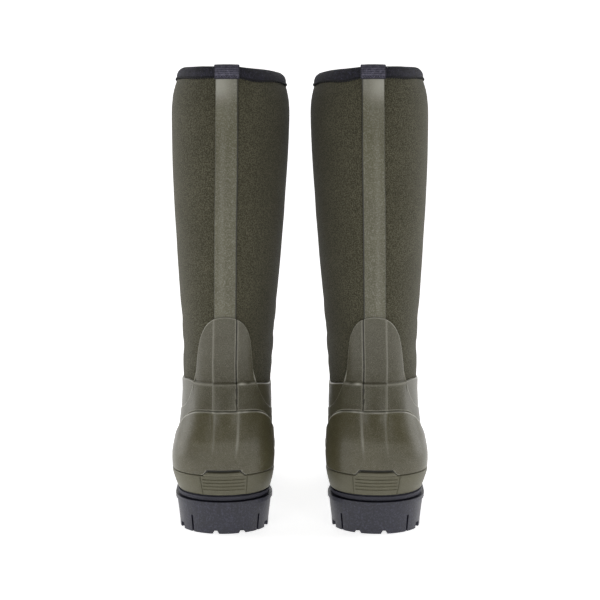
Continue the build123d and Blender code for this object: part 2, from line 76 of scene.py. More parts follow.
# ------------------------------------------------------------------ curves
def curve(stations, values):
    """A smooth curve through measured points that never overshoots them, flat past the ends."""
    xs, ys = np.array(stations, float), np.array(values, float)
    steps = np.diff(xs)
    slopes = np.diff(ys) / steps
    tangents = np.zeros(len(xs))
    tangents[0], tangents[-1] = slopes[0], slopes[-1]
    for i in range(1, len(xs) - 1):
        if slopes[i - 1] * slopes[i] > 0:
            w1 = 2 * steps[i] + steps[i - 1]
            w2 = steps[i] + 2 * steps[i - 1]
            tangents[i] = (w1 + w2) / (w1 / slopes[i - 1] + w2 / slopes[i])

    def value(x):
        x = np.clip(np.asarray(x, float), xs[0], xs[-1])
        i = np.clip(np.searchsorted(xs, x) - 1, 0, len(xs) - 2)
        t = (x - xs[i]) / steps[i]
        return ((1 + 2 * t) * (1 - t) ** 2 * ys[i] + t * (1 - t) ** 2 * steps[i] * tangents[i]
                + t * t * (3 - 2 * t) * ys[i + 1]
                + t * t * (t - 1) * steps[i] * tangents[i + 1])
    return value


def smooth(start, end, x):
    """0 before start, 1 after end, with a soft step between."""
    t = np.clip((np.asarray(x, float) - start) / (end - start), 0, 1)
    return t * t * (3 - 2 * t)


def bell(x, centre, width):
    return np.exp(-((x - centre) / width) ** 2)


def rolled(share):
    """A quarter round: 0 at the edge, 1 once share reaches 1."""
    return np.sqrt(np.maximum(0, 1 - (1 - share) ** 2))


def mirrored(values):
    """Values that start at the centre, continued to the other side."""
    values = np.asarray(values, float)
    return np.concatenate([-values[::-1][:-1], values])


# ------------------------------------------------------------------ the boot's form
# By height: half width and y of the back line
LEG_Z = [-6, 10, 28, 32, 40, 50, 60, 75, 90, 103, 115, 129, 140, 150, 166, 184,
         202, 220, 238, 256, 274, 291, 309, 327, 345, 362, 371, 380, 388, 396, 412]
half_width = curve(LEG_Z, [
    38.4, 38.4, 38.8, 39.6, 41.4, 42.9, 43.4, 42.1, 40.3, 39.9, 39.9, 40.8, 41.8, 42.3, 43.0, 44.1,
    45.4, 46.7, 48.0, 49.2, 50.4, 51.1, 52.0, 52.7, 52.95, 53.1, 52.8, 51.5, 49.2, 46.2, 42.3])
back_y = curve(LEG_Z, [
    3.5, 3.5, 3.2, 2.6, 1.2, 0.0, -0.6, -0.5, 1.5, 4.5, 7.0, 9.0, 9.8, 9.9, 9.0, 7.3,
    5.2, 3.0, 0.8, -1.4, -3.6, -5.5, -7.3, -8.6, -9.4, -9.6, -9.4, -8.7, -7.7, -6.4, -4.0])
# By height: y of the front line
front_y = curve(
    [-6, 20, 28, 36, 45, 52, 58, 64, 70, 75, 79, 83, 87, 92, 100, 108,
     116, 124, 132, 140, 150, 166, 184, 202, 256, 291, 327, 362, 380, 396, 412],
    [290, 290.5, 291, 291, 290.5, 289, 286.5, 282, 275.5, 267.5, 258, 246, 233, 218, 199, 185,
     174.5, 167, 161.5, 157.5, 154, 151.5, 150.5, 150.5, 152, 153, 153.5, 153, 151.5, 149, 146])
# By height: length over which the front and the back round off
ROUND_Z = [-6, 35, 50, 60, 70, 79, 87, 95, 105, 116, 132, 150, 166, 184, 412]
nose_length = curve(ROUND_Z, [92, 92, 96, 100, 107, 111, 105, 96, 88, 82, 77, 73, 71.2, 71.6, 75])
heel_length = curve(ROUND_Z, [40, 40, 40, 40, 41, 42, 43.5, 46, 50, 54, 61, 70, 71.2, 71.6, 75])
# By height: share by which the forefoot draws in
dome = curve([26, 30, 34, 38, 42, 46, 55, 80, 108, 142],
             [0.0, 0.015, 0.05, 0.085, 0.105, 0.115, 0.12, 0.15, 0.15, 0.0])
# By height: sideways place of the centre line
LEG_SHIFT = [-0.3, -0.3, -1.2, -1.0, 0.0, 1.4, 2.5, 3.0, 3.3, 3.8,
             4.5, 4.9, 5.4, 5.9, 6.4, 7.1, 7.7, 7.9, 7.9]
shift_x = curve([-6, 28, 50, 62, 75, 90, 103, 115, 129, 150,
                 175, 202, 229, 256, 283, 309, 345, 371, 412], LEG_SHIFT)
RIM_X = LEG_SHIFT[-1]
# By y: reach of the foot to the outer and the inner side
FOOT_Y = [0, 40, 75, 110, 145, 175, 200, 225, 250, 292, 320]
outer_reach = curve(FOOT_Y, [42, 42, 41, 39.2, 42.0, 45.8, 47.4, 47.6, 46.0, 41, 38])
inner_reach = curve(FOOT_Y, [42, 42, 39, 36, 39.6, 45.6, 49.7, 51.0, 50.2, 46.6, 44])
PLAIN_REACH = 42.0               # the reach that leaves half_width as it is
LEG_SKEW = 0.0524                # sideways per mm of y, in the leg
SKEW_Y = 75                      # where that skew is nil
TOE_SWING = 8.0                  # toe towards the inner side


def form(angle, z):
    """x and y of the outer form. Angle 0 is the back, pi the front; inner side between them."""
    back, front = back_y(z), front_y(z)
    y = back + (front - back) * (1 - np.cos(angle)) / 2
    heel = heel_length(z)
    nose = np.minimum(nose_length(z), (front - back) - heel)
    heel = np.minimum(heel, (front - back) / 2)
    nose_power = 2.0 + 0.3 * (1 - smooth(60, 100, z))
    heel_power = 2.15
    width = np.sqrt(np.maximum(0, 1 - np.clip((y - (front - nose)) / nose, 0, 1) ** nose_power))
    width = width * np.sqrt(
        np.maximum(0, 1 - np.clip((back + heel - y) / heel, 0, 1) ** heel_power))
    leg = smooth(48, 128, z)
    inner = np.sin(angle) >= 0
    reach = np.where(inner, inner_reach(y), outer_reach(y))
    width = width * half_width(z) * ((1 - leg) * reach / PLAIN_REACH + leg)
    width = width * (1 - dome(z) * smooth(95, 165, y))
    x = (shift_x(z) + LEG_SKEW * smooth(80, 150, z) * (y - SKEW_Y)
         + TOE_SWING * smooth(130, 300, y) * (1 - leg))
    return x + np.where(inner, width, -width), y


def surf(angle, z, depth):
    """Points at angle and height z, set in by depth from the form as it is at z + depth."""
    angle, z, depth = np.broadcast_arrays(
        np.asarray(angle, float), np.asarray(z, float), np.asarray(depth, float))
    form_z = z + depth
    x0, y0 = form(angle - 1e-3, form_z)
    x1, y1 = form(angle + 1e-3, form_z)
    x, y = form(angle, form_z)
    dx, dy = x1 - x0, y1 - y0
    length = np.maximum(np.hypot(dx, dy), 1e-9)
    return np.stack([x - depth * dy / length, y + depth * dx / length, z], -1)


# Creases at the front and sides of the ankle: height, width, depth, tilt
CREASES = [(146, 4.2, 0.9, 7), (160, 4.8, 1.1, -5), (175, 5.2, 0.8, 6), (190, 6.0, 0.4, -7)]


def waves(angle, z):
    """Extra depth from soft, shallow waves of the foam leg and creases at the ankle."""
    turn = np.mod(angle, 2 * PI)
    t = np.minimum(turn, 2 * PI - turn)
    side = np.where(turn < PI, 1.0, -1.0)
    depth = 0.34 * np.sin(2 * t + 0.018 * z + 1.0 + 0.5 * side) * np.sin(0.033 * z + 0.7 + side)
    depth = depth + 0.16 * np.sin(5 * t - 0.030 * z + side) * np.sin(0.071 * z + 2.0 * side)
    depth = depth * smooth(175, 225, z) * (1 - smooth(362, 380, z))
    front = smooth(0.75, 1.9, t)
    for crease_z, width, amount, tilt in CREASES:
        depth = depth + front * amount * bell(z, crease_z + tilt * np.cos(t + side * 0.6), width)
    return depth


def soft(angle, z, depth):
    """surf with the foam's waves."""
    return surf(angle, z, depth + waves(angle, z))


def back_x(z):
    return form(0.0, z)[0]


HEEL_BACK_X = float(back_x(BACK_X_HEIGHT))


# ------------------------------------------------------------------ lines on the form
def rise(y):
    """The sole line drops under the arch and springs up to the toe."""
    y = np.asarray(y, float)
    return -6.0 * smooth(60, 175, y) + 12.0 * np.maximum(0.0, (y - 190) / 100) ** 2


def sole_line(level):
    return lambda y: level + rise(y)


# By y: heights of the galosh's top edge, the boot's rim and the heel counter's top edge
galosh_top = curve([-30, 8, 50, 82, 115, 150, 200, 330],
                   [129.5, 129.0, 123.0, 122.0, 127.0, 140.0, 150.0, 150.0])
RIM_BACK = 397.5
rim = curve([-40, -8, 25, 75, 115, 160, 330],
            [397.6, RIM_BACK, 396.6, 394.2, 392.6, 392.0, 392.0])
RIM_TILT = math.tan(math.radians(2.3))         # the rim falls towards the inner side
counter_top = curve(
    [-30, 6, 12, 17, 22, 26.5, 31, 34, 40, 48, 58, 66, 71, 330],
    [106.0, 105.8, 105.0, 103.4, 100.4, 96.8, 91.8, 88.0, 82.0, 76.0, 68.0, 57.0, 44.0, 10.0])


def galosh_edge(points):
    """Top of the galosh; it stands a little higher on the outer side of the ankle."""
    y = points[..., 1]
    outer = smooth(6, 20, back_x(points[..., 2]) - points[..., 0])
    return galosh_top(y) + outer * 4.8 * smooth(13, 38, y) * (1 - smooth(65, 120, y))


def solve_z(angles, line, depth, tilt=0.0):
    """Height at which the surface meets z = line(y), by 26 damped steps."""
    z = np.broadcast_to(line(np.full(angles.shape, 80.0)), angles.shape).astype(float).copy()
    for _ in range(26):
        points = surf(angles, z, depth)
        z = 0.45 * z + 0.55 * (line(points[..., 1]) - tilt * (points[..., 0] - RIM_X))
    return z


def angle_at_x(x, z, depth=0.0, front=False):
    """Angle at which the surface lies x from its back (or front) centre line."""
    centre = PI if front else 0.0
    angles = np.linspace(-1.45, 1.45, 1200) + centre
    xs = surf(angles, z, depth)[:, 0] - surf(np.array([centre]), z, depth)[0, 0]
    if front:
        xs, angles = xs[::-1], angles[::-1]
    return np.interp(x, xs, angles)


def both_sides(angles, gap, limit, step):
    """Angles from the back line outwards, carried on to a limit and mirrored."""
    return mirrored(np.concatenate([angles, np.arange(angles[-1] + gap, limit, step)]))


def extent(angles, inside, z_start, z_end, depth):
    """Lowest and highest z at each angle where inside(points, z) holds; nan where it never does."""
    heights = np.arange(z_start, z_end, 0.05)
    angle_grid, z = np.meshgrid(angles, heights)
    held = inside(surf(angle_grid, z, depth), z)
    low = np.where(held.any(0), heights[held.argmax(0)], np.nan)
    high = np.where(held.any(0), heights[len(heights) - 1 - held[::-1].argmax(0)], np.nan)
    return low, high


# ------------------------------------------------------------------ meshes
RING = 288
RING_ANGLES = np.arange(RING) * 2 * PI / RING
MATERIALS = {}


def to_scene(points, side):
    x = points[..., 0] * math.cos(TURN_OUT) - points[..., 1] * math.sin(TURN_OUT) - HEEL_X
    y = points[..., 0] * math.sin(TURN_OUT) + points[..., 1] * math.cos(TURN_OUT) - CENTRE_Y
    return np.stack([x * side, y, points[..., 2] + GROUND], -1) / 1000.0


def grid(rows, cols, wrap=False):
    faces = []
    for i in range(rows - 1):
        for j in range(cols if wrap else cols - 1):
            k = (j + 1) % cols
            faces.append((i * cols + j, i * cols + k, (i + 1) * cols + k, (i + 1) * cols + j))
    return faces


def ring_cap(first, flip=False):
    """Closes a ring with strips from its inner to its outer side."""
    faces = []
    for i in range(RING // 2):
        a, b, c, d = i, i + 1, (RING - i - 1) % RING, (RING - i) % RING
        if a == d:
            face = [a, b, c]
        else:
            face = [a, b, d] if b == c else [a, b, c, d]
        face = [first + k for k in face]
        faces.append(tuple(face[::-1] if flip else face))
    return faces


def end_caps(rows):
    return ring_cap(0, flip=True) + ring_cap((rows - 1) * RING)


def outward_normals(mesh):
    bm = bmesh.new()
    bm.from_mesh(mesh)
    bmesh.ops.recalc_face_normals(bm, faces=bm.faces)
    bm.to_mesh(mesh)
    bm.free()


def piece(name, points, faces, material, slot=None, body=None, replaces=(), subdivide=False,
          **attributes):
    """Makes left_name and right_name from points of the left boot.

    Attribute values repeat to fill the points.
    """
    points = np.asarray(points, float).reshape(-1, 3)
    for side, prefix in ((1, "left"), (-1, "right")):
        mesh = bpy.data.meshes.new(f"{prefix}_{name}")
        turned = [list(f) if side == 1 else list(reversed(f)) for f in faces]
        mesh.from_pydata(to_scene(points, side).tolist(), [], turned)
        mesh.update()
        outward_normals(mesh)
        for key, values in attributes.items():
            attribute = mesh.attributes.new(key, "FLOAT", "POINT")
            filled = np.resize(np.asarray(values, np.float32), len(points))
            attribute.data.foreach_set("value", filled)
        mesh.shade_smooth()
        mesh.materials.append(MATERIALS[material])
        ob = bpy.data.objects.new(f"{prefix}_{name}", mesh)
        bpy.context.scene.collection.objects.link(ob)
        if subdivide:
            subdivision = ob.modifiers.new("Subdivision", "SUBSURF")
            subdivision.levels = subdivision.render_levels = 1
        if body is None:
            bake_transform(ob)
        else:
            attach(ob, f"{prefix}_{body}")
        if replaces:
            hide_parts(*[f"{prefix}_{part}" for part in replaces])


def constant(depth):
    return lambda z, points: np.full(z.shape, depth)


def distance_to_line(points, line):
    nearest = np.full(points.shape[:-1], 1e9)
    for start, end in zip(line[:-1], line[1:]):
        along = end - start
        square = max(float(along @ along), 1e-12)
        t = np.clip(((points - start) @ along) / square, 0, 1)
        away = np.linalg.norm(points - start - t[..., None] * along, axis=-1)
        nearest = np.minimum(nearest, away)
    return nearest


# share is how far up the sheet a point lies; edge is 1 at the borders and 0 inside
Sheet = namedtuple("Sheet", "points faces edge z share")


def sheet(angles, low, high, top, base, rows, rounding, edge_width, low_rounding=None,
          end_rounding=None, place=surf, wrap=False):
    """A sheet between two heights per column, at depth top(z, points).

    Its edges round down to depth base(z, points); the low edge and the ends may have their
    own rounding. Rows crowd towards the low and the high edge.
    """
    height = max(float(np.mean(high - low)), 1e-3)
    near = np.array([0.0, 0.22, 0.5, 0.85, 1.3]) / height
    shares = np.concatenate([near, np.linspace(0, 1, rows), 1 - near])
    shares = np.unique(shares.clip(0, 1).round(6))
    angle_grid = np.tile(angles, (len(shares), 1))
    z = low + (high - low) * shares[:, None]
    top_depth = top(z, place(angle_grid, z, 0.0))
    points = place(angle_grid, z, top_depth)

    borders = [(points[0], low_rounding), (points[-1], None)]
    if not wrap:
        borders += [(points[:, 0], end_rounding), (points[:, -1], end_rounding)]
    distance = np.full(z.shape, 1e9)
    for line, own_rounding in borders:
        scale = rounding / (own_rounding or rounding)
        distance = np.minimum(distance, distance_to_line(points, line) * scale)
    base_depth = base(z, points)
    roll = rolled(np.clip(distance / rounding, 0, 1))
    points = place(angle_grid, z, base_depth + (top_depth - base_depth) * roll)
    edge = 1 - smooth(edge_width * 0.45, edge_width, distance)
    return Sheet(points, grid(len(shares), len(angles), wrap), edge, z, (z - low) / (high - low))


def arc_length(rings):
    """Distance round each ring, in metres, for the woven and knitted textures."""
    steps = np.linalg.norm(np.diff(rings, axis=1, append=rings[:, :1]), axis=-1)
    start = np.zeros((rings.shape[0], 1))
    return np.concatenate([start, np.cumsum(steps, axis=1)[:, :-1]], axis=1) / 1000.0


# ------------------------------------------------------------------ materials
def srgb(*channels):
    """Linear colour from 0-255 channels."""
    shares = [c / 255 for c in channels]
    return tuple(s / 12.92 if s <= 0.04045 else ((s + 0.055) / 1.055) ** 2.4
                 for s in shares) + (1.0,)


def dimmed(color, amount):
    return tuple(channel * amount for channel in color)


class Shader:
    """A new material: a Principled surface with textures in object coordinates."""

    def __init__(self, name, stretch=(1, 1, 1)):
        self.material = bpy.data.materials.new(name)
        self.material.use_nodes = True
        self.tree = self.material.node_tree
        self.tree.nodes.clear()
        output = self.add("OutputMaterial")
        self.surface = self.add("BsdfPrincipled")
        self.feed(output.inputs[0], self.surface.outputs[0])
        MATERIALS[name] = self.material
        coords, mapping = self.add("TexCoord"), self.add("Mapping")
        mapping.inputs["Scale"].default_value = stretch
        self.feed(mapping.inputs["Vector"], coords.outputs["Object"])
        self.coords = mapping.outputs[0]
        self.normal = None

    def add(self, kind):
        return self.tree.nodes.new("ShaderNode" + kind)

    def feed(self, socket, value):
        """Links an output to the socket, or sets a plain value."""
        if isinstance(value, bpy.types.NodeSocket):
            self.tree.links.new(value, socket)
        else:
            socket.default_value = value

    def set(self, name, value):
        self.feed(self.surface.inputs[name], value)

    def noise(self, scale, detail, rough):
        node = self.add("TexNoise")
        node.inputs["Scale"].default_value = scale
        node.inputs["Detail"].default_value = detail
        node.inputs["Roughness"].default_value = rough
        self.feed(node.inputs["Vector"], self.coords)
        return node.outputs[0]

    def attribute(self, name):
        node = self.add("Attribute")
        node.attribute_name = name
        return node.outputs["Fac"]

    def height(self):
        node = self.add("SeparateXYZ")
        self.feed(node.inputs[0], self.coords)
        return node.outputs[2]

    def math(self, operation, *values):
        node = self.add("Math")
        node.operation = operation
        for socket, value in zip(node.inputs, values):
            self.feed(socket, value)
        return node.outputs[0]

    def sine(self, value, frequency):
        return self.math("SINE", self.math("MULTIPLY", value, frequency))

    def mask(self, value, low, high, amount=None):
        """0 below low, 1 above high, times amount if that is given."""
        node = self.add("ValToRGB")
        stops = ((low, (0, 0, 0, 1)), (high, (1, 1, 1, 1)))
        for element, (position, color) in zip(node.color_ramp.elements, stops):
            element.position = position
            element.color = color
        self.feed(node.inputs[0], value)
        if amount is None:
            return node.outputs[0]
        return self.math("MULTIPLY", node.outputs[0], amount)

    def mix(self, factor, first, second):
        node = self.add("Mix")
        node.data_type = "RGBA"
        for i, value in ((0, factor), (6, first), (7, second)):
            self.feed(node.inputs[i], value)
        return node.outputs[2]

    def bump(self, height, strength, distance):
        """Bumps the surface, on top of any bump made before."""
        node = self.add("Bump")
        node.inputs["Strength"].default_value = strength
        node.inputs["Distance"].default_value = distance
        self.feed(node.inputs["Height"], height)
        if self.normal is not None:
            self.feed(node.inputs["Normal"], self.normal)
        self.normal = node.outputs[0]
        self.set("Normal", self.normal)


def rubber(name, color, dark, light, rough, grain=1500.0, specular=0.45, grain_bump=0.18,
           glint=None, mottle=0.25):
    """Moulded rubber; the edge attribute mixes in painted highlights, or painted shade where
    negative.
    """
    s = Shader(name)
    broad = s.noise(scale=28.0, detail=4, rough=0.6)
    fine = s.noise(scale=grain, detail=2, rough=0.6)
    c = s.mix(s.mask(broad, 0.3, 0.7), dark, color)
    c = s.mix(s.mask(fine, 0.45, 0.75, amount=0.35), c, light)
    patches = s.noise(scale=140.0, detail=3, rough=0.65)
    c = s.mix(s.mask(patches, 0.35, 0.7, amount=mottle), c, dark)
    edge = s.attribute("edge")
    c = s.mix(s.math("MULTIPLY", edge, 0.75), c, glint or light)
    c = s.mix(s.math("MULTIPLY", edge, -0.85), c, dimmed(dark, 0.16))
    s.set("Base Color", c)
    s.set("Roughness", s.math("MULTIPLY_ADD", broad, rough[1] - rough[0], rough[0]))
    s.set("Specular IOR Level", specular)
    s.bump(fine, strength=grain_bump, distance=0.0002)
    s.bump(s.noise(scale=220.0, detail=3, rough=0.5), strength=0.05, distance=0.0006)


def knit(name, color, dark, light):
    """Fine knit: rows of small loops with heathered yarn."""
    s = Shader(name)
    frequency = 2 * PI / (1.15 / 1000)           # rows 1.15 mm apart
    height, around = s.height(), s.attribute("around")
    row = s.sine(height, frequency)
    wale = s.sine(around, frequency * 0.8)
    loop = s.math("MULTIPLY_ADD", s.math("MULTIPLY", row, wale), 0.5, 0.5)
    heather = s.noise(scale=1050.0, detail=1, rough=0.5)
    broad = s.noise(scale=22.0, detail=3, rough=0.5)
    c = s.mix(s.mask(heather, 0.38, 0.66), dark, light)
    c = s.mix(0.30, c, color)
    c = s.mix(s.math("MULTIPLY", s.math("SUBTRACT", 1.0, loop), 0.35), c, dark)
    c = s.mix(s.mask(broad, 0.35, 0.7, amount=0.22), c, dark)
    s.set("Base Color", c)
    s.set("Roughness", 0.92)
    s.set("Specular IOR Level", 0.25)
    s.set("Sheen Weight", 0.10)
    s.set("Sheen Roughness", 0.5)
    yarn = s.math("ADD", s.math("MULTIPLY", loop, 0.6), s.math("MULTIPLY", heather, 0.8))
    s.bump(yarn, strength=0.5, distance=0.00035)


def fleece(name, color, dark):
    s = Shader(name)
    pile = s.noise(scale=420.0, detail=5, rough=0.75)
    clumps = s.noise(scale=70.0, detail=3, rough=0.6)
    c = s.mix(pile, dark, color)
    c = s.mix(s.math("MULTIPLY", clumps, 0.4), c, dark)
    s.set("Base Color", c)
    s.set("Roughness", 1.0)
    s.set("Sheen Weight", 0.4)
    s.bump(pile, strength=0.9, distance=0.0012)


def webbing(name, color, dark, light, pitch, sheen, strength, blotch):
    """Ribbed weave: ribs along one direction, cross threads between; pitch in mm."""
    s = Shader(name)
    height, around = s.height(), s.attribute("around")
    frequency = 2 * PI / (pitch / 1000)
    rib = s.sine(around, frequency)
    thread = s.sine(height, frequency * 1.7)
    both = s.math("ADD", rib, s.math("MULTIPLY", thread, 0.5))
    weave = s.math("MULTIPLY_ADD", both, 0.33, 0.5)
    fuzz = s.noise(scale=900.0, detail=2, rough=0.7)
    c = s.mix(s.mask(weave, 0.1, 0.9), dark, color)
    c = s.mix(s.mask(fuzz, 0.5, 0.75, amount=0.4), c, light)
    blots = s.noise(scale=330.0, detail=3, rough=0.7)
    c = s.mix(s.mask(blots, 0.42, 0.62, amount=blotch), c, dimmed(dark, 0.35))
    c = s.mix(s.attribute("shade"), c, dimmed(dark, 0.3))
    s.set("Base Color", c)
    s.set("Roughness", 0.85)
    s.set("Sheen Weight", sheen)
    relief = s.math("ADD", weave, s.math("MULTIPLY", fuzz, 0.5))
    s.bump(relief, strength=strength, distance=0.0004)


def outsole_rubber():
    """Black moulded rubber, scuffed."""
    s = Shader("outsole_rubber")
    broad = s.noise(scale=60.0, detail=4, rough=0.6)
    fine = s.noise(scale=620.0, detail=3, rough=0.75)
    c = s.mix(s.mask(broad, 0.35, 0.7), srgb(25, 25, 37), srgb(33, 33, 48))
    c = s.mix(s.mask(fine, 0.48, 0.72, amount=0.40), c, srgb(94, 94, 120))
    s.set("Base Color", c)
    s.set("Roughness", s.math("MULTIPLY_ADD", broad, 0.16, 0.34))
    s.set("Specular IOR Level", 0.58)
    s.bump(fine, strength=0.3, distance=0.0003)
    s.bump(s.noise(scale=300.0, detail=3, rough=0.6), strength=0.15, distance=0.0006)


def foam(name, dark, light):
    """Closed-cell foam."""
    s = Shader(name)
    cells = s.add("TexVoronoi")
    cells.inputs["Scale"].default_value = 1500.0
    s.feed(cells.inputs["Vector"], s.coords)
    s.set("Base Color", s.mix(s.noise(scale=140.0, detail=3, rough=0.6), dark, light))
    s.set("Roughness", 0.7)
    s.bump(cells.outputs["Distance"], strength=0.35, distance=0.0004)


def grained(name, dark, light, grain, bump, stretch=(1, 1, 1)):
    """One noise for colour and bump. grain: scale, detail, rough. bump: strength, distance."""
    s = Shader(name, stretch)
    noise = s.noise(*grain)
    s.set("Base Color", s.mix(noise, dark, light))
    s.bump(noise, *bump)
    return s, noise


def make_materials():
    rubber("boot_rubber", srgb(77, 74, 56), srgb(67, 63, 44), srgb(164, 161, 143),
           rough=(0.31, 0.42), specular=0.6, glint=srgb(206, 203, 188))
    rubber("counter_rubber", srgb(76, 71, 43), srgb(64, 59, 31), srgb(186, 183, 168),
           rough=(0.28, 0.38), specular=0.6, grain=2200.0, grain_bump=0.1,
           glint=srgb(222, 220, 208))
    rubber("band_rubber", srgb(98, 95, 76), srgb(85, 82, 62), srgb(142, 139, 122),
           rough=(0.40, 0.52))
    rubber("tape_rubber", srgb(90, 88, 63), srgb(78, 75, 51), srgb(182, 180, 168),
           rough=(0.30, 0.40), grain=900.0, grain_bump=0.35, specular=0.6, mottle=0.1)
    knit("neoprene", srgb(76, 74, 57), srgb(49, 46, 33), srgb(112, 109, 90))
    fleece("fleece", srgb(92, 88, 78), srgb(50, 47, 41))
    webbing("binding_fabric", srgb(34, 32, 48), srgb(11, 11, 20), srgb(108, 106, 134),
            pitch=1.5, sheen=0.02, strength=1.0, blotch=0.75)
    webbing("tab_webbing", srgb(112, 110, 128), srgb(50, 48, 62), srgb(166, 164, 184),
            pitch=1.7, sheen=0.1, strength=0.9, blotch=0.4)
    outsole_rubber()
    foam("eva_foam", srgb(48, 48, 56), srgb(68, 68, 80))
    foam("footbed_foam", srgb(84, 84, 80), srgb(104, 104, 98))

    # Fibre board with short fibres, and moulded sheet
    board, _ = grained("board", srgb(140, 122, 92), srgb(196, 178, 142),
                       grain=(900.0, 4, 0.8), bump=(0.4, 0.0004), stretch=(1.0, 0.25, 1.0))
    board.set("Roughness", 0.95)
    moulded, _ = grained("stiffener", srgb(96, 96, 98), srgb(136, 136, 138),
                         grain=(500.0, 3, 0.6), bump=(0.3, 0.0004))
    moulded.set("Roughness", 0.65)
    # Spring steel, brushed along its length
    steel, brushing = grained("shank_steel", srgb(150, 152, 156), srgb(196, 198, 202),
                              grain=(2600.0, 3, 0.6), bump=(0.2, 0.0002),
                              stretch=(1.0, 0.02, 1.0))
    steel.set("Metallic", 1.0)
    steel.set("Roughness", steel.math("MULTIPLY_ADD", brushing, 0.25, 0.25))
    thread, _ = grained("thread", srgb(4, 4, 7), srgb(16, 15, 21),
                        grain=(2500.0, 2, 0.5), bump=(0.4, 0.0002))
    thread.set("Roughness", 0.8)


# ------------------------------------------------------------------ foam upper and its lining
LEVELS = np.array(
    [37, 40, 43.5, 47, 51, 55, 59, 63, 66.5, 70, 73, 76, 79, 82, 85, 88, 92, 96, 100, 104, 108]
    + list(range(112, 216, 3)) + list(range(216, 372, 6)) + [375, 380, 385, 390, 395.6], float)


def tube_wall(levels, depth):
    """Rings that follow the sole line low down and the rim near the top."""
    heights = []
    for level in levels:
        low_part = 1 - smooth(60, 110, level)
        top_part = smooth(300, 395, level)
        heights.append(solve_z(
            RING_ANGLES,
            lambda y: level + rise(y) * low_part + (rim(y) - RIM_BACK) * top_part,
            depth, RIM_TILT * float(top_part)))
    return soft(np.tile(RING_ANGLES, (len(levels), 1)), np.array(heights), depth)


def foam_upper():
    """One piece of foam from foot to rim, ankle and all."""
    outside, inside = tube_wall(LEVELS, FOAM_OUT), tube_wall(LEVELS, FOAM_IN)
    points = np.concatenate([outside, inside[::-1]])
    rows = len(points)
    piece("foam_upper", points, grid(rows, RING, wrap=True) + end_caps(rows), "neoprene",
          replaces=("neoprene_sock", "neoprene_ankle", "neoprene_shaft"),
          around=np.concatenate([arc_length(outside), arc_length(inside)[::-1]]))


def fleece_lining():
    levels = np.concatenate([[39.0, 41.0], LEVELS[3:-1], [394.8]])
    outside, inside = tube_wall(levels, LINING_OUT), tube_wall(levels, LINING_IN)
    points = np.concatenate([outside, inside[::-1], outside[:1]])
    piece("fleece_lining", points, grid(len(points), RING, wrap=True), "fleece",
          replaces=("foot_lining", "shaft_lining"), edge=0.0)


# ------------------------------------------------------------------ galosh: rubber foot shell
def galosh_shell():
    low = solve_z(RING_ANGLES, sole_line(32.8), 0.0)
    high = solve_z(RING_ANGLES, galosh_top, 0.0)
    high_points = surf(RING_ANGLES, high, 0.0)
    high = high + galosh_edge(high_points) - galosh_top(high_points[:, 1])

    def top(z, points):
        """The shell feathers out along the sides of the ankle."""
        y, upper = points[..., 1], galosh_edge(points)
        return (1.55 * smooth(48, 72, y) * (1 - smooth(112, 138, y))
                * smooth(upper - 24, upper - 5, z))

    def base(z, points):
        return np.where(z > z.mean(), FOAM_OUT - 0.15, 1.2)

    shell = sheet(RING_ANGLES, low, high, top, base, rows=58, rounding=0.9, edge_width=1.3,
                  wrap=True)
    y = shell.points[..., 1]
    x = shell.points[..., 0] - back_x(shell.z)
    # Painted highlight along the top edge, fainter on the outer side near the heel
    edge = shell.edge * smooth(0.5, 0.8, shell.share)
    edge = np.where(y < 75, edge * np.where(x > 0, 1.0, 0.45), edge)
    # Painted shade in the undercut behind the ledge above the heel patch
    undercut = (np.abs(x) < 17) & (y < 20) & (shell.z > 52.3) & (shell.z < 57.5)
    piece("galosh_shell", shell.points, shell.faces + ring_cap(0, flip=True), "boot_rubber",
          body="foot", replaces=("galosh",), edge=np.where(undercut, -1.0, edge))


# ------------------------------------------------------------------ heel counter
def ledge_top(x):
    """Top of the ledge behind the heel, sloping down at both ends."""
    return HEEL_BAND_TOP + 3.3 * np.clip((18.6 - np.abs(x)) / 3.8, 0, 1)


def from_tape(points, z):
    """Sideways distance from the tape's line, which strays a little from the back line."""
    return points[..., 0] - (back_x(z) - 1.0 * (1 - smooth(104, 128, z)) * smooth(84, 104, z))


def ridges(points, z, start, end):
    """The tape under the overlays shows as a raised band with soft edges."""
    across = from_tape(points, z)
    x = np.abs(across)
    # On the inner side the tape edge has a sharp crease
    crease = np.where(across > 0, 0.75 * bell(x, 9.8, 0.38), 0.0)
    band = 0.40 * (1 - smooth(9.2, 10.4, x)) + 0.34 * bell(x, 9.9, 0.7)
    return band * smooth(start, end, z) - crease * smooth(100, 112, z)


# Light on the counter's edge: amount, place across (+ inner side), width
COUNTER_GLINTS = [(0.75, 10.6, 1.6), (0.55, 16.0, 3.2), (0.30, -2.5, 5.0), (0.5, -11.2, 1.2)]


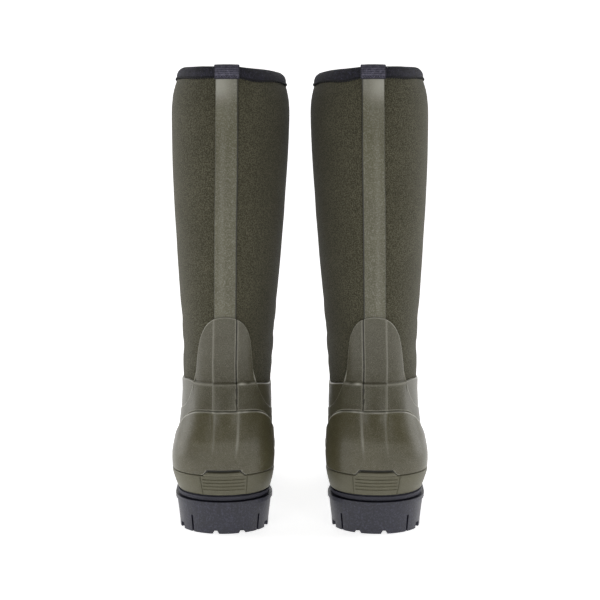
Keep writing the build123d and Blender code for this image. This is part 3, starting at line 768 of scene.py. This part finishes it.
def counter_overlay():
    across = np.concatenate([
        np.linspace(0, 9, 10), np.linspace(9.3, 10.6, 6), np.linspace(11.2, 15.2, 5),
        np.linspace(15.6, 19.6, 10), np.linspace(20.4, 34, 12)])
    angles = both_sides(angle_at_x(across, 60.0), gap=0.012, limit=1.15, step=0.011)
    high = solve_z(angles, counter_top, OVERLAY)
    low = solve_z(angles, sole_line(OVERLAY_FOOT), OVERLAY)
    keep = high - low > 1.5
    angles, high, low = angles[keep], high[keep], low[keep]
    x = np.abs(surf(angles, BACK_X_HEIGHT, OVERLAY)[:, 0] - HEEL_BACK_X)
    gap = 0.14 + 1.55 * smooth(-16.6, -15.0, -x)
    low = np.maximum(low, ledge_top(x) + gap)

    counter = sheet(angles, low, high, lambda z, p: OVERLAY - 0.8 * ridges(p, z, 66, 100),
                    constant(TUCK), rows=44, rounding=0.9, edge_width=1.75, low_rounding=0.5)
    across = counter.points[..., 0] - back_x(counter.z)
    x = np.abs(across)
    glint = sum((amount * bell(across, centre, width)
                 for amount, centre, width in COUNTER_GLINTS), 0.30)
    glint = glint + 0.75 * smooth(25, 31, across) + 0.35 * smooth(24, 30, -across)
    # Painted highlights along the outline: the glints on its upper part, a faint line elsewhere,
    # brighter where the low edge slopes beside the ledge
    ledge_ends = (x > 15) & (x < 20) & (counter.share < 0.3)
    edge = (np.minimum(1.33, glint) * counter.edge * smooth(0.25, 0.6, counter.share)
            + np.where(ledge_ends, 0.45, 0.08) * counter.edge)
    # Painted highlight along the tape's edges under the counter, stronger on the inner side, fading
    # out downwards
    tape_edge_highlight = np.where(across > 0, 0.30, 0.13) * bell(x, 10.3, 1.1)
    edge = np.maximum(edge, tape_edge_highlight * smooth(62, 84, counter.z))
    piece("counter_overlay", counter.points, counter.faces, "counter_rubber", body="foot",
          replaces=("heel_counter",), edge=edge)


# ------------------------------------------------------------------ Achilles overlay
# By height: half width of the panel and how far forward its wings reach (y)
panel_half_width = curve(
    [80, 104, 111, 118.3, 131.6, 149.6, 163.5, 171, 176, 180.2, 183.4, 185.4, 186.6, 187.3, 187.7],
    [60, 39, 34.0, 30.5, 26.4, 24.6, 23.0, 21.3, 19.3, 16.8, 13.6, 10.4, 7.2, 3.8, 0.0])
wing_y = curve([60, 80, 94, 106, 117, 128, 150, 215], [61.5, 58, 52, 44, 34, 28, 25.5, 25])


def ankle_base(z, points):
    """Ankle overlays end on the galosh below its edge and on the foam above it."""
    upper = galosh_edge(points)
    on_foam = smooth(upper - 0.3, upper + 0.3, z)
    return TUCK + (FOAM_OUT + 0.1 - TUCK) * on_foam


def above_galosh(z, upper):
    return smooth(upper - 0.1, upper + 1.9, z)


def achilles_panel():
    across = np.concatenate([np.linspace(0, 8, 11), np.linspace(8.25, 11.5, 15),
                             np.linspace(11.9, 15, 7), np.arange(15.3, 33.5, 0.22)])
    angles = both_sides(angle_at_x(across, 140.0), gap=0.006, limit=1.5, step=0.009)
    _, high = extent(
        angles,
        lambda p, z: (np.abs(p[..., 0] - back_x(z)) <= panel_half_width(z))
        & (p[..., 1] <= wing_y(z)), 66, 190, -0.8)
    low = solve_z(angles, lambda y: counter_top(y) + 0.45, ANKLE_OVERLAY)
    keep = ~np.isnan(high) & (high - low > 1.2)

    def top(z, points):
        upper = galosh_edge(points)
        step = above_galosh(z, upper)
        lip = 0.28 * bell(z, upper, 1.1)
        wings = 1.05 * smooth(25, 37, np.abs(points[..., 0] - back_x(z))) * (1 - step)
        return ANKLE_OVERLAY + wings + 1.2 * step - lip - ridges(points, z, 60, 70)

    panel = sheet(angles[keep], low[keep], high[keep], top, ankle_base, rows=118, rounding=0.9,
                  edge_width=1.2, place=soft)
    z, across = panel.z, from_tape(panel.points, panel.z)
    # Painted highlight along the panel's outline, stronger above z 112
    edge = panel.edge * np.where(z < 112, 0.45, 0.85)
    # Painted highlights along the galosh's edge, then along both edges of the tape; painted shade
    # in the crease
    lip_light = (0.12 + 1.1 * bell(across, 14.5, 3.2) + 0.26 * smooth(9, 13, -across)
                 + 0.45 * smooth(20, 24, across))
    edge = np.maximum(edge, lip_light * bell(z, galosh_edge(panel.points) + 0.1, 0.95))
    edge = np.maximum(edge, np.where(
        across < 0, 0.22 * bell(across, -9.9, 0.8),
        0.30 * bell(across, 8.8, 0.4) + 0.30 * bell(across, 10.9, 0.55)))
    edge = np.where((np.abs(across - 9.8) < 0.6) & (z > 106.5), -0.95, edge)
    piece("achilles_panel", panel.points, panel.faces, "boot_rubber",
          replaces=("achilles_overlay",), edge=edge)


# ------------------------------------------------------------------ instep overlay
# By height: half width, at the front of the ankle
instep_half_width = curve(
    [98.5, 99.2, 100.5, 102, 106, 111, 118, 126, 136, 145,
     155, 165, 173, 180, 186, 190, 193.5, 196, 197.5, 198],
    [0, 6, 12, 16.5, 23, 27, 28.9, 29, 27.7, 26,
     25.1, 24.5, 23.5, 22, 19.6, 17, 13.2, 9, 4.5, 0])


def instep_panel():
    front_x = float(form(PI, 150.0)[0])
    across = np.concatenate([np.linspace(0, 16, 17), np.arange(16.3, 33, 0.3)])
    angles = np.sort(angle_at_x(mirrored(across), 145.0, front=True))
    low, high = extent(
        angles,
        lambda p, z: np.abs(p[..., 0] - front_x)
        <= np.where((z < 98.5) | (z > 198), -1.0, instep_half_width(z)), 98, 199, 0.0)
    keep = ~np.isnan(high) & (high - low > 1.5)

    def top(z, points):
        return ANKLE_OVERLAY + 1.6 * above_galosh(z, galosh_edge(points))

    panel = sheet(angles[keep], low[keep], high[keep], top, ankle_base, rows=84, rounding=0.9,
                  edge_width=1.2, place=soft)
    # Painted highlight along the galosh's edge and along the panel's outline
    lip_light = 0.5 * bell(panel.z, galosh_top(panel.points[..., 1]) + 0.2, 0.8)
    piece("instep_panel", panel.points, panel.faces, "boot_rubber",
          replaces=("instep_overlay",), edge=np.maximum(panel.edge * 0.5, lip_light))


# ------------------------------------------------------------------ toe cap
# By height: y of the cap's rear edge
cap_rear = curve([20, 50, 75, 100, 120], [232, 231, 227, 222, 221])


def toe_cap_overlay():
    angles = PI + np.concatenate([-np.arange(0.012, 1.3, 0.012)[::-1],
                                  np.arange(0, 1.3, 0.012)])
    _, high = extent(angles, lambda p, z: p[..., 1] >= cap_rear(z), 40, 110, -0.9)
    low = solve_z(angles, sole_line(OVERLAY_FOOT), OVERLAY)
    keep = ~np.isnan(high) & (high - low > 1.2)
    cap = sheet(angles[keep], low[keep], high[keep], constant(OVERLAY), constant(TUCK),
                rows=56, rounding=0.9, edge_width=1.3, low_rounding=0.5)
    # Painted highlight along the cap's outline, stronger on its upper part
    edge = 0.38 * cap.edge * smooth(0.1, 0.5, cap.share) + 0.08 * cap.edge
    piece("toe_cap_overlay", cap.points, cap.faces, "boot_rubber", body="foot",
          replaces=("toe_cap",), edge=edge)


# ------------------------------------------------------------------ foxing band and heel patch
def band_depth(z, points):
    return -1.0 - 1.2 * smooth(30, 48, z)


def foxing_strip():
    """The band runs round the foot and leaves room for the patch at the heel."""
    start = float(angle_at_x(19.5, 42.0, -2.0))
    side = 0.9
    angles = np.concatenate([
        np.linspace(start, side, 60, endpoint=False),
        np.linspace(side, 2 * PI - side, 170, endpoint=False),
        np.linspace(2 * PI - side, 2 * PI - start, 60)])
    low = solve_z(angles, sole_line(BAND_FOOT), -1.0)
    high = solve_z(angles, sole_line(BAND_TOP), -2.2)
    band = sheet(angles, low, high, band_depth, constant(BAND_TUCK), rows=26, rounding=1.0,
                 edge_width=1.2, low_rounding=1.6, end_rounding=0.4)
    # Painted highlight along the band's upper edge
    piece("foxing_strip", band.points, band.faces, "band_rubber", body="foot",
          replaces=("foxing_band",), edge=band.edge * 0.55 * smooth(0.3, 0.6, band.share))


GROOVE_Z = 38.2 + 3.1 * np.arange(4)           # four level grooves in the patch


def heel_rib_patch():
    """A grooved patch on the heel with a ledge above it."""
    def grooved(z, points):
        x = np.abs(points[..., 0] - HEEL_BACK_X)
        groove = np.max([np.exp(-((z - centre) / 0.52) ** 4) for centre in GROOVE_Z], axis=0)
        groove = groove * (1 - smooth(17.0, 17.7, x))
        return band_depth(z, points) - 0.3 + 0.75 * groove

    across = np.concatenate([np.linspace(-19.47, -16.2, 14), np.linspace(-15.6, 15.6, 32),
                             np.linspace(16.2, 19.45, 14)])
    angles = angle_at_x(across, 42.0, -2.0)
    patch = sheet(angles, np.full(angles.shape, 32.9), np.full(angles.shape, HEEL_BAND_TOP),
                  grooved, constant(BAND_TUCK), rows=90, rounding=0.7, edge_width=0.9,
                  end_rounding=0.3)

    across = np.concatenate([np.linspace(-18.5, -14.4, 11), np.linspace(-13.6, 13.6, 24),
                             np.linspace(14.4, 18.5, 11)])
    angles = angle_at_x(across, 52.0, -3.0)
    ledge = sheet(angles, np.full(angles.shape, 49.9), ledge_top(across),
                  lambda z, p: -2.5 - 0.7 * smooth(50.2, 52.0, z), constant(BAND_TUCK),
                  rows=14, rounding=0.7, edge_width=0.8)
    # Painted highlights along the ledge's edges, brightest on its sloping ends, and fainter ones
    # along the patch's edges
    ends = np.abs(ledge.points[..., 0] - HEEL_BACK_X) > 13.6
    ledge_highlight = ledge.edge * np.where(ends, 1.1, 0.35)

    points = np.concatenate([patch.points.reshape(-1, 3), ledge.points.reshape(-1, 3)])
    first = patch.z.size
    faces = patch.faces + [tuple(i + first for i in face) for face in ledge.faces]
    piece("heel_rib_patch", points, faces, "band_rubber", body="foot",
          replaces=("heel_patch",),
          edge=np.concatenate([patch.edge.ravel() * 0.45, ledge_highlight.ravel()]))


# ------------------------------------------------------------------ tape down the back
TAPE_HALF = 9.75


def back_tape():
    """Columns keep their distance from the back line, so the tape keeps its width."""
    heights = np.concatenate([[107.5, 108.2, 109.5], np.arange(112, 386, 2.2),
                              [386.6, 387.7, 388.5]])
    across = mirrored([0, 1.6, 3.2, 5, 6.5, 8, 8.8, 9.2, 9.5, 9.68, TAPE_HALF])
    from_edge = TAPE_HALF - np.abs(across)
    edge_depth, top_depth = 2.3, 0.85
    depth = edge_depth + (top_depth - edge_depth) * rolled(np.clip(from_edge / 0.5, 0, 1))
    points = np.array([soft(angle_at_x(across, z, 1.0), z, depth) for z in heights])

    # Painted highlight near the top, under the pull tab, with a faint light line; painted shade
    # along both edges, darker on the inner side
    tape_top_highlight = (0.80 * smooth(364, 383, heights) + 0.22 * smooth(335, 372, heights))[:, None]
    tape_top_highlight = tape_top_highlight * (0.62 + 0.38 * np.cos((across + 4.0) / 4.2))
    edge = np.maximum(0.12 * (1 - smooth(0.25, 0.7, from_edge)), tape_top_highlight)
    edge = np.maximum(edge, 0.13 * bell(across, -3.4, 2.2))
    edge = np.where(across > 8.4, -1.1, np.where(across < -9.1, -0.55, edge))
    piece("back_tape", points, grid(len(heights), len(across)), "tape_rubber",
          replaces=("back_strip",), edge=edge)


# ------------------------------------------------------------------ footbed
def pad(bottom, top, depth, crown, rows):
    """A loose pad along the sole line: rounded side wall, crowned top and flat underside."""
    thick = top - bottom
    # Height above the bottom, and extra depth
    wall = ([(0, 1.0), (0.25, 0.25), (1.0, 0.0)]
            + [(1.0 + (thick - 2.0) * share, 0.0) for share in np.linspace(0.1, 0.9, rows)]
            + [(thick - 1.0, 0.0), (thick - 0.25, 0.25), (thick, 1.0)])
    rings = []
    for up, inset in wall:
        z = solve_z(RING_ANGLES, sole_line(bottom + up), depth + inset)
        rings.append(surf(RING_ANGLES, z, depth + inset))
    border = rings[-1]
    middle_x = (border[:, 0] + border[(-np.arange(RING)) % RING, 0]) / 2
    for inset in (3, 8, 16, 26, 36):
        ring = border.copy()
        ring[:, 0] = middle_x + (border[:, 0] - middle_x) * (1 - inset / 44.0)
        along = np.clip((ring[:, 1] - 8) / 270, 0, 1)
        ring[:, 2] = (top + rise(ring[:, 1])
                      + crown * (inset / 36.0) * np.sin(along * PI) ** 0.5 * 0.3)
        rings.append(ring)
    return np.array(rings), grid(len(rings), RING, wrap=True) + end_caps(len(rings))


def footbed():
    points, faces = pad(bottom=40.3, top=45.7, depth=9.0, crown=0.0, rows=7)
    piece("footbed_pad", points, faces, "footbed_foam", body="footbed",
          replaces=("footbed",), edge=0.0)
    points, faces = pad(bottom=46.1, top=48.2, depth=9.1, crown=0.8, rows=3)
    piece("footbed_fleece", points, faces, "fleece", body="footbed",
          replaces=("footbed_cover",), edge=0.0)


# ------------------------------------------------------------------ collar binding
BINDING_RING = 256
BINDING_ANGLES = np.arange(BINDING_RING) * 2 * PI / BINDING_RING


def unevenness(angle):
    """Height wander of the top edge, and of the binding's lower edge."""
    t = np.mod(angle, 2 * PI)
    low = (0.35 * np.sin(3 * t + 0.6) + 0.3 * np.sin(7 * t + 1.9) + 0.2 * np.sin(13 * t)
           - 1.7 * bell(t, 0.55, 0.22))
    top = 0.22 * np.sin(4 * t + 0.8) + 0.12 * np.sin(9 * t)
    return top, low * smooth(0.0, 0.35, np.minimum(t, 2 * PI - t))


def at_rim(angle, offset, depth):
    """Points at a height off the rim, set in by depth."""
    top, low = unevenness(angle)
    z = solve_z(angle, lambda y: rim(y) + offset, depth, RIM_TILT)
    z = z + top + low * float(np.clip((-offset - 3.0) / 4.5, 0, 1))
    return soft(angle, z, depth)


def shortened(offset):
    """Draws the part lower than 1 mm below the rim closer to it."""
    return offset if offset > -1 else -1 + (offset + 1) * 0.635


# Closed section, from the outer lower edge over the rim and back: depth, height off the rim
# (before shortening), and 1 where the cloth is pinned
SECTION = [
    (1.80, -13.2, 1), (1.15, -12.9, 1), (0.95, -12.0, 1), (0.98, -11.0, 1), (1.30, -10.2, 1),
    (0.95, -9.3, 0), (0.85, -7.8, 0), (0.85, -6.2, 0), (0.85, -4.6, 0), (0.90, -3.0, 0),
    (1.10, -1.6, 0), (1.60, -0.4, 0), (2.40, 0.6, 0), (3.40, 1.2, 0), (4.60, 1.4, 0),
    (5.80, 1.2, 0), (6.80, 0.6, 0), (7.60, -0.4, 0), (8.05, -1.6, 0), (8.20, -3.2, 0),
    (8.25, -5.0, 0), (8.25, -6.8, 0), (8.20, -8.6, 0), (7.95, -10.2, 1), (8.20, -11.2, 1),
    (8.10, -12.6, 1), (7.45, -13.2, 1), (7.30, -12.4, 1), (7.30, -8.0, 1), (7.28, -3.5, 1),
    (7.1, -0.9, 1), (4.7, -0.6, 1), (2.3, -0.9, 1), (2.02, -3.5, 1), (2.0, -8.0, 1),
    (2.0, -12.4, 1)]
OUTER_ROWS = 15                  # section rows on the outside

SIM_SCALE = 0.01                 # simulation units per mm
SIM_FRAMES = 14
SIM_REACH = 0.8                  # farthest a point may move, mm
CLOTH = {
    "quality": 6, "mass": 0.05,
    "tension_stiffness": 12, "compression_stiffness": 12, "shear_stiffness": 6,
    "bending_stiffness": 0.4, "tension_damping": 8, "compression_damping": 8,
    "use_pressure": True, "uniform_pressure_force": 9.0,
    "vertex_group_mass": "pin", "shrink_min": 0.0}


def puffed(points, faces, pinned):
    """Points after a cloth simulation with inner pressure, no gravity and pinned rows held."""
    flat = points.reshape(-1, 3)
    mesh = bpy.data.meshes.new("sim")
    mesh.from_pydata((flat * SIM_SCALE).tolist(), [], [list(f) for f in faces])
    outward_normals(mesh)
    ob = bpy.data.objects.new("sim", mesh)
    bpy.context.scene.collection.objects.link(ob)
    group = ob.vertex_groups.new(name="pin")
    group.add(np.flatnonzero(pinned.ravel() > 0.5).tolist(), 1.0, "REPLACE")
    cloth = ob.modifiers.new("Cloth", "CLOTH")
    for key, value in CLOTH.items():
        setattr(cloth.settings, key, value)
    cloth.settings.effector_weights.gravity = 0.0
    cloth.point_cache.frame_start = 1
    cloth.point_cache.frame_end = SIM_FRAMES
    scene = bpy.context.scene
    for i in range(1, SIM_FRAMES + 1):
        scene.frame_set(i)
    graph = bpy.context.evaluated_depsgraph_get()
    result = ob.evaluated_get(graph).to_mesh()
    moved = np.zeros(len(mesh.vertices) * 3)
    result.vertices.foreach_get("co", moved)
    moved = moved.reshape(-1, 3) / SIM_SCALE
    scene.frame_set(1)
    bpy.data.objects.remove(ob, do_unlink=True)
    move = np.nan_to_num(moved - flat)
    length = np.linalg.norm(move, axis=1, keepdims=True)
    move = move * np.minimum(1.0, SIM_REACH / np.maximum(length, 1e-9))
    return (flat + move).reshape(points.shape)


STITCH_SIDES = 6
# Rings of a stitch: share of its length, share of its radius, bow outwards in mm
STITCH_RINGS = [(0.0, 0.15, -0.3), (0.12, 0.8, 0.0), (0.35, 1.0, 0.16),
                (0.65, 1.0, 0.16), (0.88, 0.8, 0.0), (1.0, 0.15, -0.3)]


def stitches(name, ends, radius, slot):
    """Small rounded thread beads, from (start, end, rough outward direction) each."""
    points, faces = [], []
    sides = range(STITCH_SIDES)
    up = np.array([0, 0, 1.0])
    for start, end, outward in ends:
        axis = end - start
        length = np.linalg.norm(axis)
        axis = axis / length
        out = np.cross(axis, up)
        out = out / np.linalg.norm(out)
        if out @ outward < 0:
            out = -out
        first = len(points)
        for along, width, bow in STITCH_RINGS:
            for j in sides:
                turn = j * PI / 3
                spoke = out * math.cos(turn) + up * math.sin(turn)
                points.append(start + axis * length * along + spoke * radius * width + out * bow)
        bead = grid(len(STITCH_RINGS), STITCH_SIDES, wrap=True)
        last = (len(STITCH_RINGS) - 1) * STITCH_SIDES
        bead += [tuple(sides), tuple(last + j for j in reversed(sides))]
        faces += [tuple(first + i for i in face) for face in bead]
    piece(name, np.array(points), faces, "thread", slot=slot, body="shaft", edge=0.0)


def collar_binding():
    """Stretch fabric folded over the rim, with a row of stitches outside."""
    depths = np.array([depth for depth, _, _ in SECTION])
    offsets = np.array([shortened(offset) for _, offset, _ in SECTION])
    pins = np.array([pin for _, _, pin in SECTION])
    flat = np.array([at_rim(BINDING_ANGLES, offset, depth)
                     for depth, offset in zip(depths, offsets)])
    last = (len(SECTION) - 1) * BINDING_RING
    faces = grid(len(SECTION), BINDING_RING, wrap=True)
    for j in range(BINDING_RING):
        k = (j + 1) % BINDING_RING
        faces.append((last + j, last + k, k, j))

    back = flat[:, 0, 0].mean()
    free = smooth(11.0, 14.5, np.abs(flat[..., 0] - back))[..., None]   # 0 under the pull tab
    points = puffed(flat, faces, np.repeat(pins[:, None], BINDING_RING, 1))
    in_front = (flat[..., 1:2] > 40).astype(float)
    points = flat + (points - flat) * np.maximum(free, in_front)

    # Gathers: the fabric puckers a little between stitches
    angles, heights = BINDING_ANGLES[None, :], offsets[:, None]
    pucker = (0.16 * np.sin(angles * 128) * bell(heights, -6.0, 2.0)
              + 0.10 * np.sin(angles * 41 + 1.3) * bell(heights, -3.0, 3.5))
    pucker = pucker * (1 - pins[:, None])
    centre = points.mean(axis=(0, 1))
    outward = points - np.array([centre[0], centre[1], 0])
    outward[..., 2] = 0
    outward = outward / np.linalg.norm(outward, axis=-1, keepdims=True)
    sign = np.where(np.arange(len(SECTION)) < OUTER_ROWS, 1.0, -1.0)[:, None]
    points = points + outward * (pucker * sign * free[..., 0])[..., None]
    low_outside = (depths < 2.1) & (offsets < -7.2)
    piece("collar_binding", points, faces, "binding_fabric", body="shaft",
          replaces=("top_binding",), subdivide=True, around=arc_length(flat[5:6]),
          shade=np.repeat(np.where(low_outside, 0.9, 0.0), BINDING_RING))

    # Slanting stitches from the binding down on to the foam, none under the tab
    count = 132
    ends = []
    for i in range(count):
        start = at_rim(np.array([2 * PI * (i + 0.10) / count]), -7.75, 0.95)[0]
        end = at_rim(np.array([2 * PI * (i + 0.72) / count]), -9.25, 1.85)[0]
        middle = (start + end) / 2
        if abs(middle[0] - back) < 11.2 and middle[1] < 40:
            continue
        ends.append((start, end, np.array([start[0] - centre[0], start[1] - centre[1], 0])))
    stitches("binding_stitches", ends, radius=0.44, slot="binding_fabric")


# ------------------------------------------------------------------ pull tab
TAB_HALF = 10.5
TAB_THICK = 0.95
# From the outer end over the rim to the inner end: depth, height off the rim (outside the
# boot before shortening)
TAB_PATH = [
    (-0.10, -13.4), (-0.42, -12.6), (-0.50, -11.2), (-0.22, -10.2), (-0.55, -9.0), (-0.80, -7.0),
    (-0.85, -4.8), (-0.75, -2.6), (-0.50, -0.6), (0.0, 1.1), (0.9, 2.3), (2.2, 3.1),
    (3.6, 3.45), (5.0, 3.45), (6.4, 3.2), (7.7, 2.4), (8.7, 1.1), (9.3, -0.8),
    (9.55, -3.0), (9.65, -6.0), (9.7, -10.0), (9.7, -15.0), (9.65, -20.0), (9.6, -25.0),
    (9.4, -29.0), (9.1, -29.8)]


def webbing_tab():
    """Ribbed webbing folded over the collar at the back."""
    across = mirrored([0, 2, 4, 6, 8, 9.5, 10.1, 10.4, TAB_HALF])
    path = np.array([(depth, shortened(offset) if depth < 1 else offset)
                     for depth, offset in TAB_PATH])
    tangent = np.gradient(path, axis=0)
    tangent = tangent / np.linalg.norm(tangent, axis=1, keepdims=True)
    to_wall = np.stack([tangent[:, 1], -tangent[:, 0]], 1)

    def face_rows(section):
        rows = []
        for depth, offset in section:
            z = float(rim(-2.0)) + offset
            angles = angle_at_x(across, min(z, 400.0), depth)
            rows.append(surf(angles, z - 0.25 * (np.abs(across) / TAB_HALF) ** 2, depth))
        return np.array(rows)

    upper, under = face_rows(path), face_rows(path + to_wall * TAB_THICK)
    rows, cols = upper.shape[:2]
    faces = grid(2 * rows, cols)
    last = (2 * rows - 1) * cols
    faces += [(last + j, last + j + 1, j + 1, j) for j in range(cols - 1)]
    for i in range(rows - 1):
        a, b = i * cols, (i + 1) * cols
        c, d = (2 * rows - 2 - i) * cols, (2 * rows - 1 - i) * cols
        faces.append((a, b, c, d))
        faces.append(tuple(k + cols - 1 for k in (a, d, c, b)))

    steps = np.linalg.norm(np.diff(path, axis=0), axis=1)
    along = np.concatenate([[0], np.cumsum(steps)]) / 1000
    heights = np.concatenate([path[:, 1], path[::-1, 1]])
    shade = np.zeros((2 * rows, cols))
    shade[:, np.abs(across) > 9.9] = 0.75
    shade[heights < -8.2] = 0.85
    # Worn, slanting marks in the weave
    marks = np.sin(across[None, :] * 1.1 + heights[:, None] * 0.9) > 0.55
    piece("webbing_tab", np.concatenate([upper, under[::-1]]), faces, "tab_webbing",
          body="shaft", replaces=("pull_tab",), subdivide=True,
          around=np.repeat(np.concatenate([along, along[::-1]]), cols),
          shade=np.maximum(shade, 0.35 * marks))

    seam_z, pitch, length = 390.7, 2.1, 1.45
    ends = []
    for i in range(9):
        x = -9.2 + i * pitch
        start, end = surf(angle_at_x(np.array([x, x + length]), seam_z, -0.3), seam_z, -0.38)
        ends.append((start, end, np.array([0, -1.0, 0])))
    stitches("tab_stitches", ends, radius=0.24, slot="tab_webbing")


# ------------------------------------------------------------------ CAD parts that keep shape
CAD_MATERIALS = {
    "outsole": "outsole_rubber", "midsole": "eva_foam", "shank": "shank_steel",
    "insole_board": "board", "heel_stiffener": "stiffener", "toe_puff": "stiffener"}


def color_cad_parts():
    for prefix in ("left", "right"):
        for part, material in CAD_MATERIALS.items():
            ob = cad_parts[f"{prefix}_{part}"]
            if not ob.material_slots:
                ob.data.materials.append(None)
            for slot in ob.material_slots:
                slot.material = MATERIALS[material]


# ------------------------------------------------------------------ floor, light, camera (m)
def make_floor():
    """White paper, swept up into a wall behind the boots."""
    half_width_m, front, sweep_start, sweep, wall_top = 5.0, -3.2, 0.9, 1.2, 4.0
    profile = [(front, 0.0), (sweep_start, 0.0)]
    for turn in np.linspace(0.1, PI / 2, 14):
        profile.append((sweep_start + sweep * math.sin(turn), sweep - sweep * math.cos(turn)))
    profile.append((sweep_start + sweep, wall_top))
    points = []
    for y, z in profile:
        z = z - 0.0004                         # just clear of the soles
        points += [(-half_width_m, y, z), (half_width_m, y, z)]
    faces = [(2 * i, 2 * i + 1, 2 * i + 3, 2 * i + 2) for i in range(len(profile) - 1)]
    mesh = bpy.data.meshes.new("floor")
    mesh.from_pydata(points, [], faces)
    mesh.shade_smooth()
    floor = bpy.data.objects.new("floor", mesh)
    bpy.context.scene.collection.objects.link(floor)
    s = Shader("floor_paper")
    tone = s.noise(scale=3.0, detail=2, rough=0.5)
    s.set("Base Color", s.mix(tone, (0.86, 0.86, 0.86, 1), (0.9, 0.9, 0.9, 1)))
    s.set("Roughness", 0.9)
    s.set("Specular IOR Level", 0.1)
    s.set("Emission Color", (1, 1, 1, 1))
    s.set("Emission Strength", 0.80)
    mesh.materials.append(s.material)


def make_world():
    """Past the floor the room is white to the eye, but hardly lights the boots."""
    room_light, seen_light = 0.065, 0.935
    world = bpy.data.worlds.new("studio")
    bpy.context.scene.world = world
    world.use_nodes = True
    nodes, links = world.node_tree.nodes, world.node_tree.links
    background = nodes["Background"]
    background.inputs[0].default_value = (1.0, 1.0, 1.0, 1)
    path = nodes.new("ShaderNodeLightPath")
    strength = nodes.new("ShaderNodeMath")
    strength.operation = "MULTIPLY_ADD"
    strength.inputs[1].default_value = seen_light
    strength.inputs[2].default_value = room_light
    links.new(path.outputs["Is Camera Ray"], strength.inputs[0])
    links.new(strength.outputs[0], background.inputs[1])


def area_light(name, place, aim, size, power, size_y=None):
    light = bpy.data.lights.new(name, "AREA")
    light.energy = power
    light.size = size
    if size_y:
        light.shape = "RECTANGLE"
        light.size_y = size_y
    ob = bpy.data.objects.new(name, light)
    ob.location = place
    ob.rotation_mode = "QUATERNION"
    ob.rotation_quaternion = (Vector(aim) - Vector(place)).to_track_quat("-Z", "Y")
    bpy.context.scene.collection.objects.link(ob)


def make_lights():
    """Tall lights at both sides, and softer ones from the camera's side."""
    for side, sign in (("left", -1), ("right", 1)):
        area_light(f"key_{side}", place=(sign * 1.3, 0.15, 0.5), aim=(sign * 0.08, 0, 0.18),
                   size=0.7, size_y=1.2, power=5.6)
    for side, sign in (("left", -1), ("right", 1)):
        area_light(f"front_{side}", place=(sign * 1.25, -2.4, 1.2), aim=(0, 0, 0.2),
                   size=0.8, power=8.0)


def make_camera():
    """Behind the heels, looking slightly down."""
    distance = 1325                            # from y = 0 of the boots, mm
    camera = bpy.data.cameras.new("camera")
    camera.sensor_width = 36.0
    camera.lens = 94.68
    ob = bpy.data.objects.new("camera", camera)
    ob.location = (0.0, -(distance + CENTRE_Y) / 1000.0, 0.3818)
    ob.rotation_euler = (math.radians(90 - 7.6), 0, 0)
    scene = bpy.context.scene
    scene.collection.objects.link(ob)
    scene.camera = ob
    scene.view_settings.view_transform = "Standard"


make_materials()
foam_upper()
fleece_lining()
galosh_shell()
counter_overlay()
achilles_panel()
instep_panel()
toe_cap_overlay()
foxing_strip()
heel_rib_patch()
back_tape()
footbed()
collar_binding()
webbing_tab()
color_cad_parts()
make_floor()
make_world()
make_lights()
make_camera()
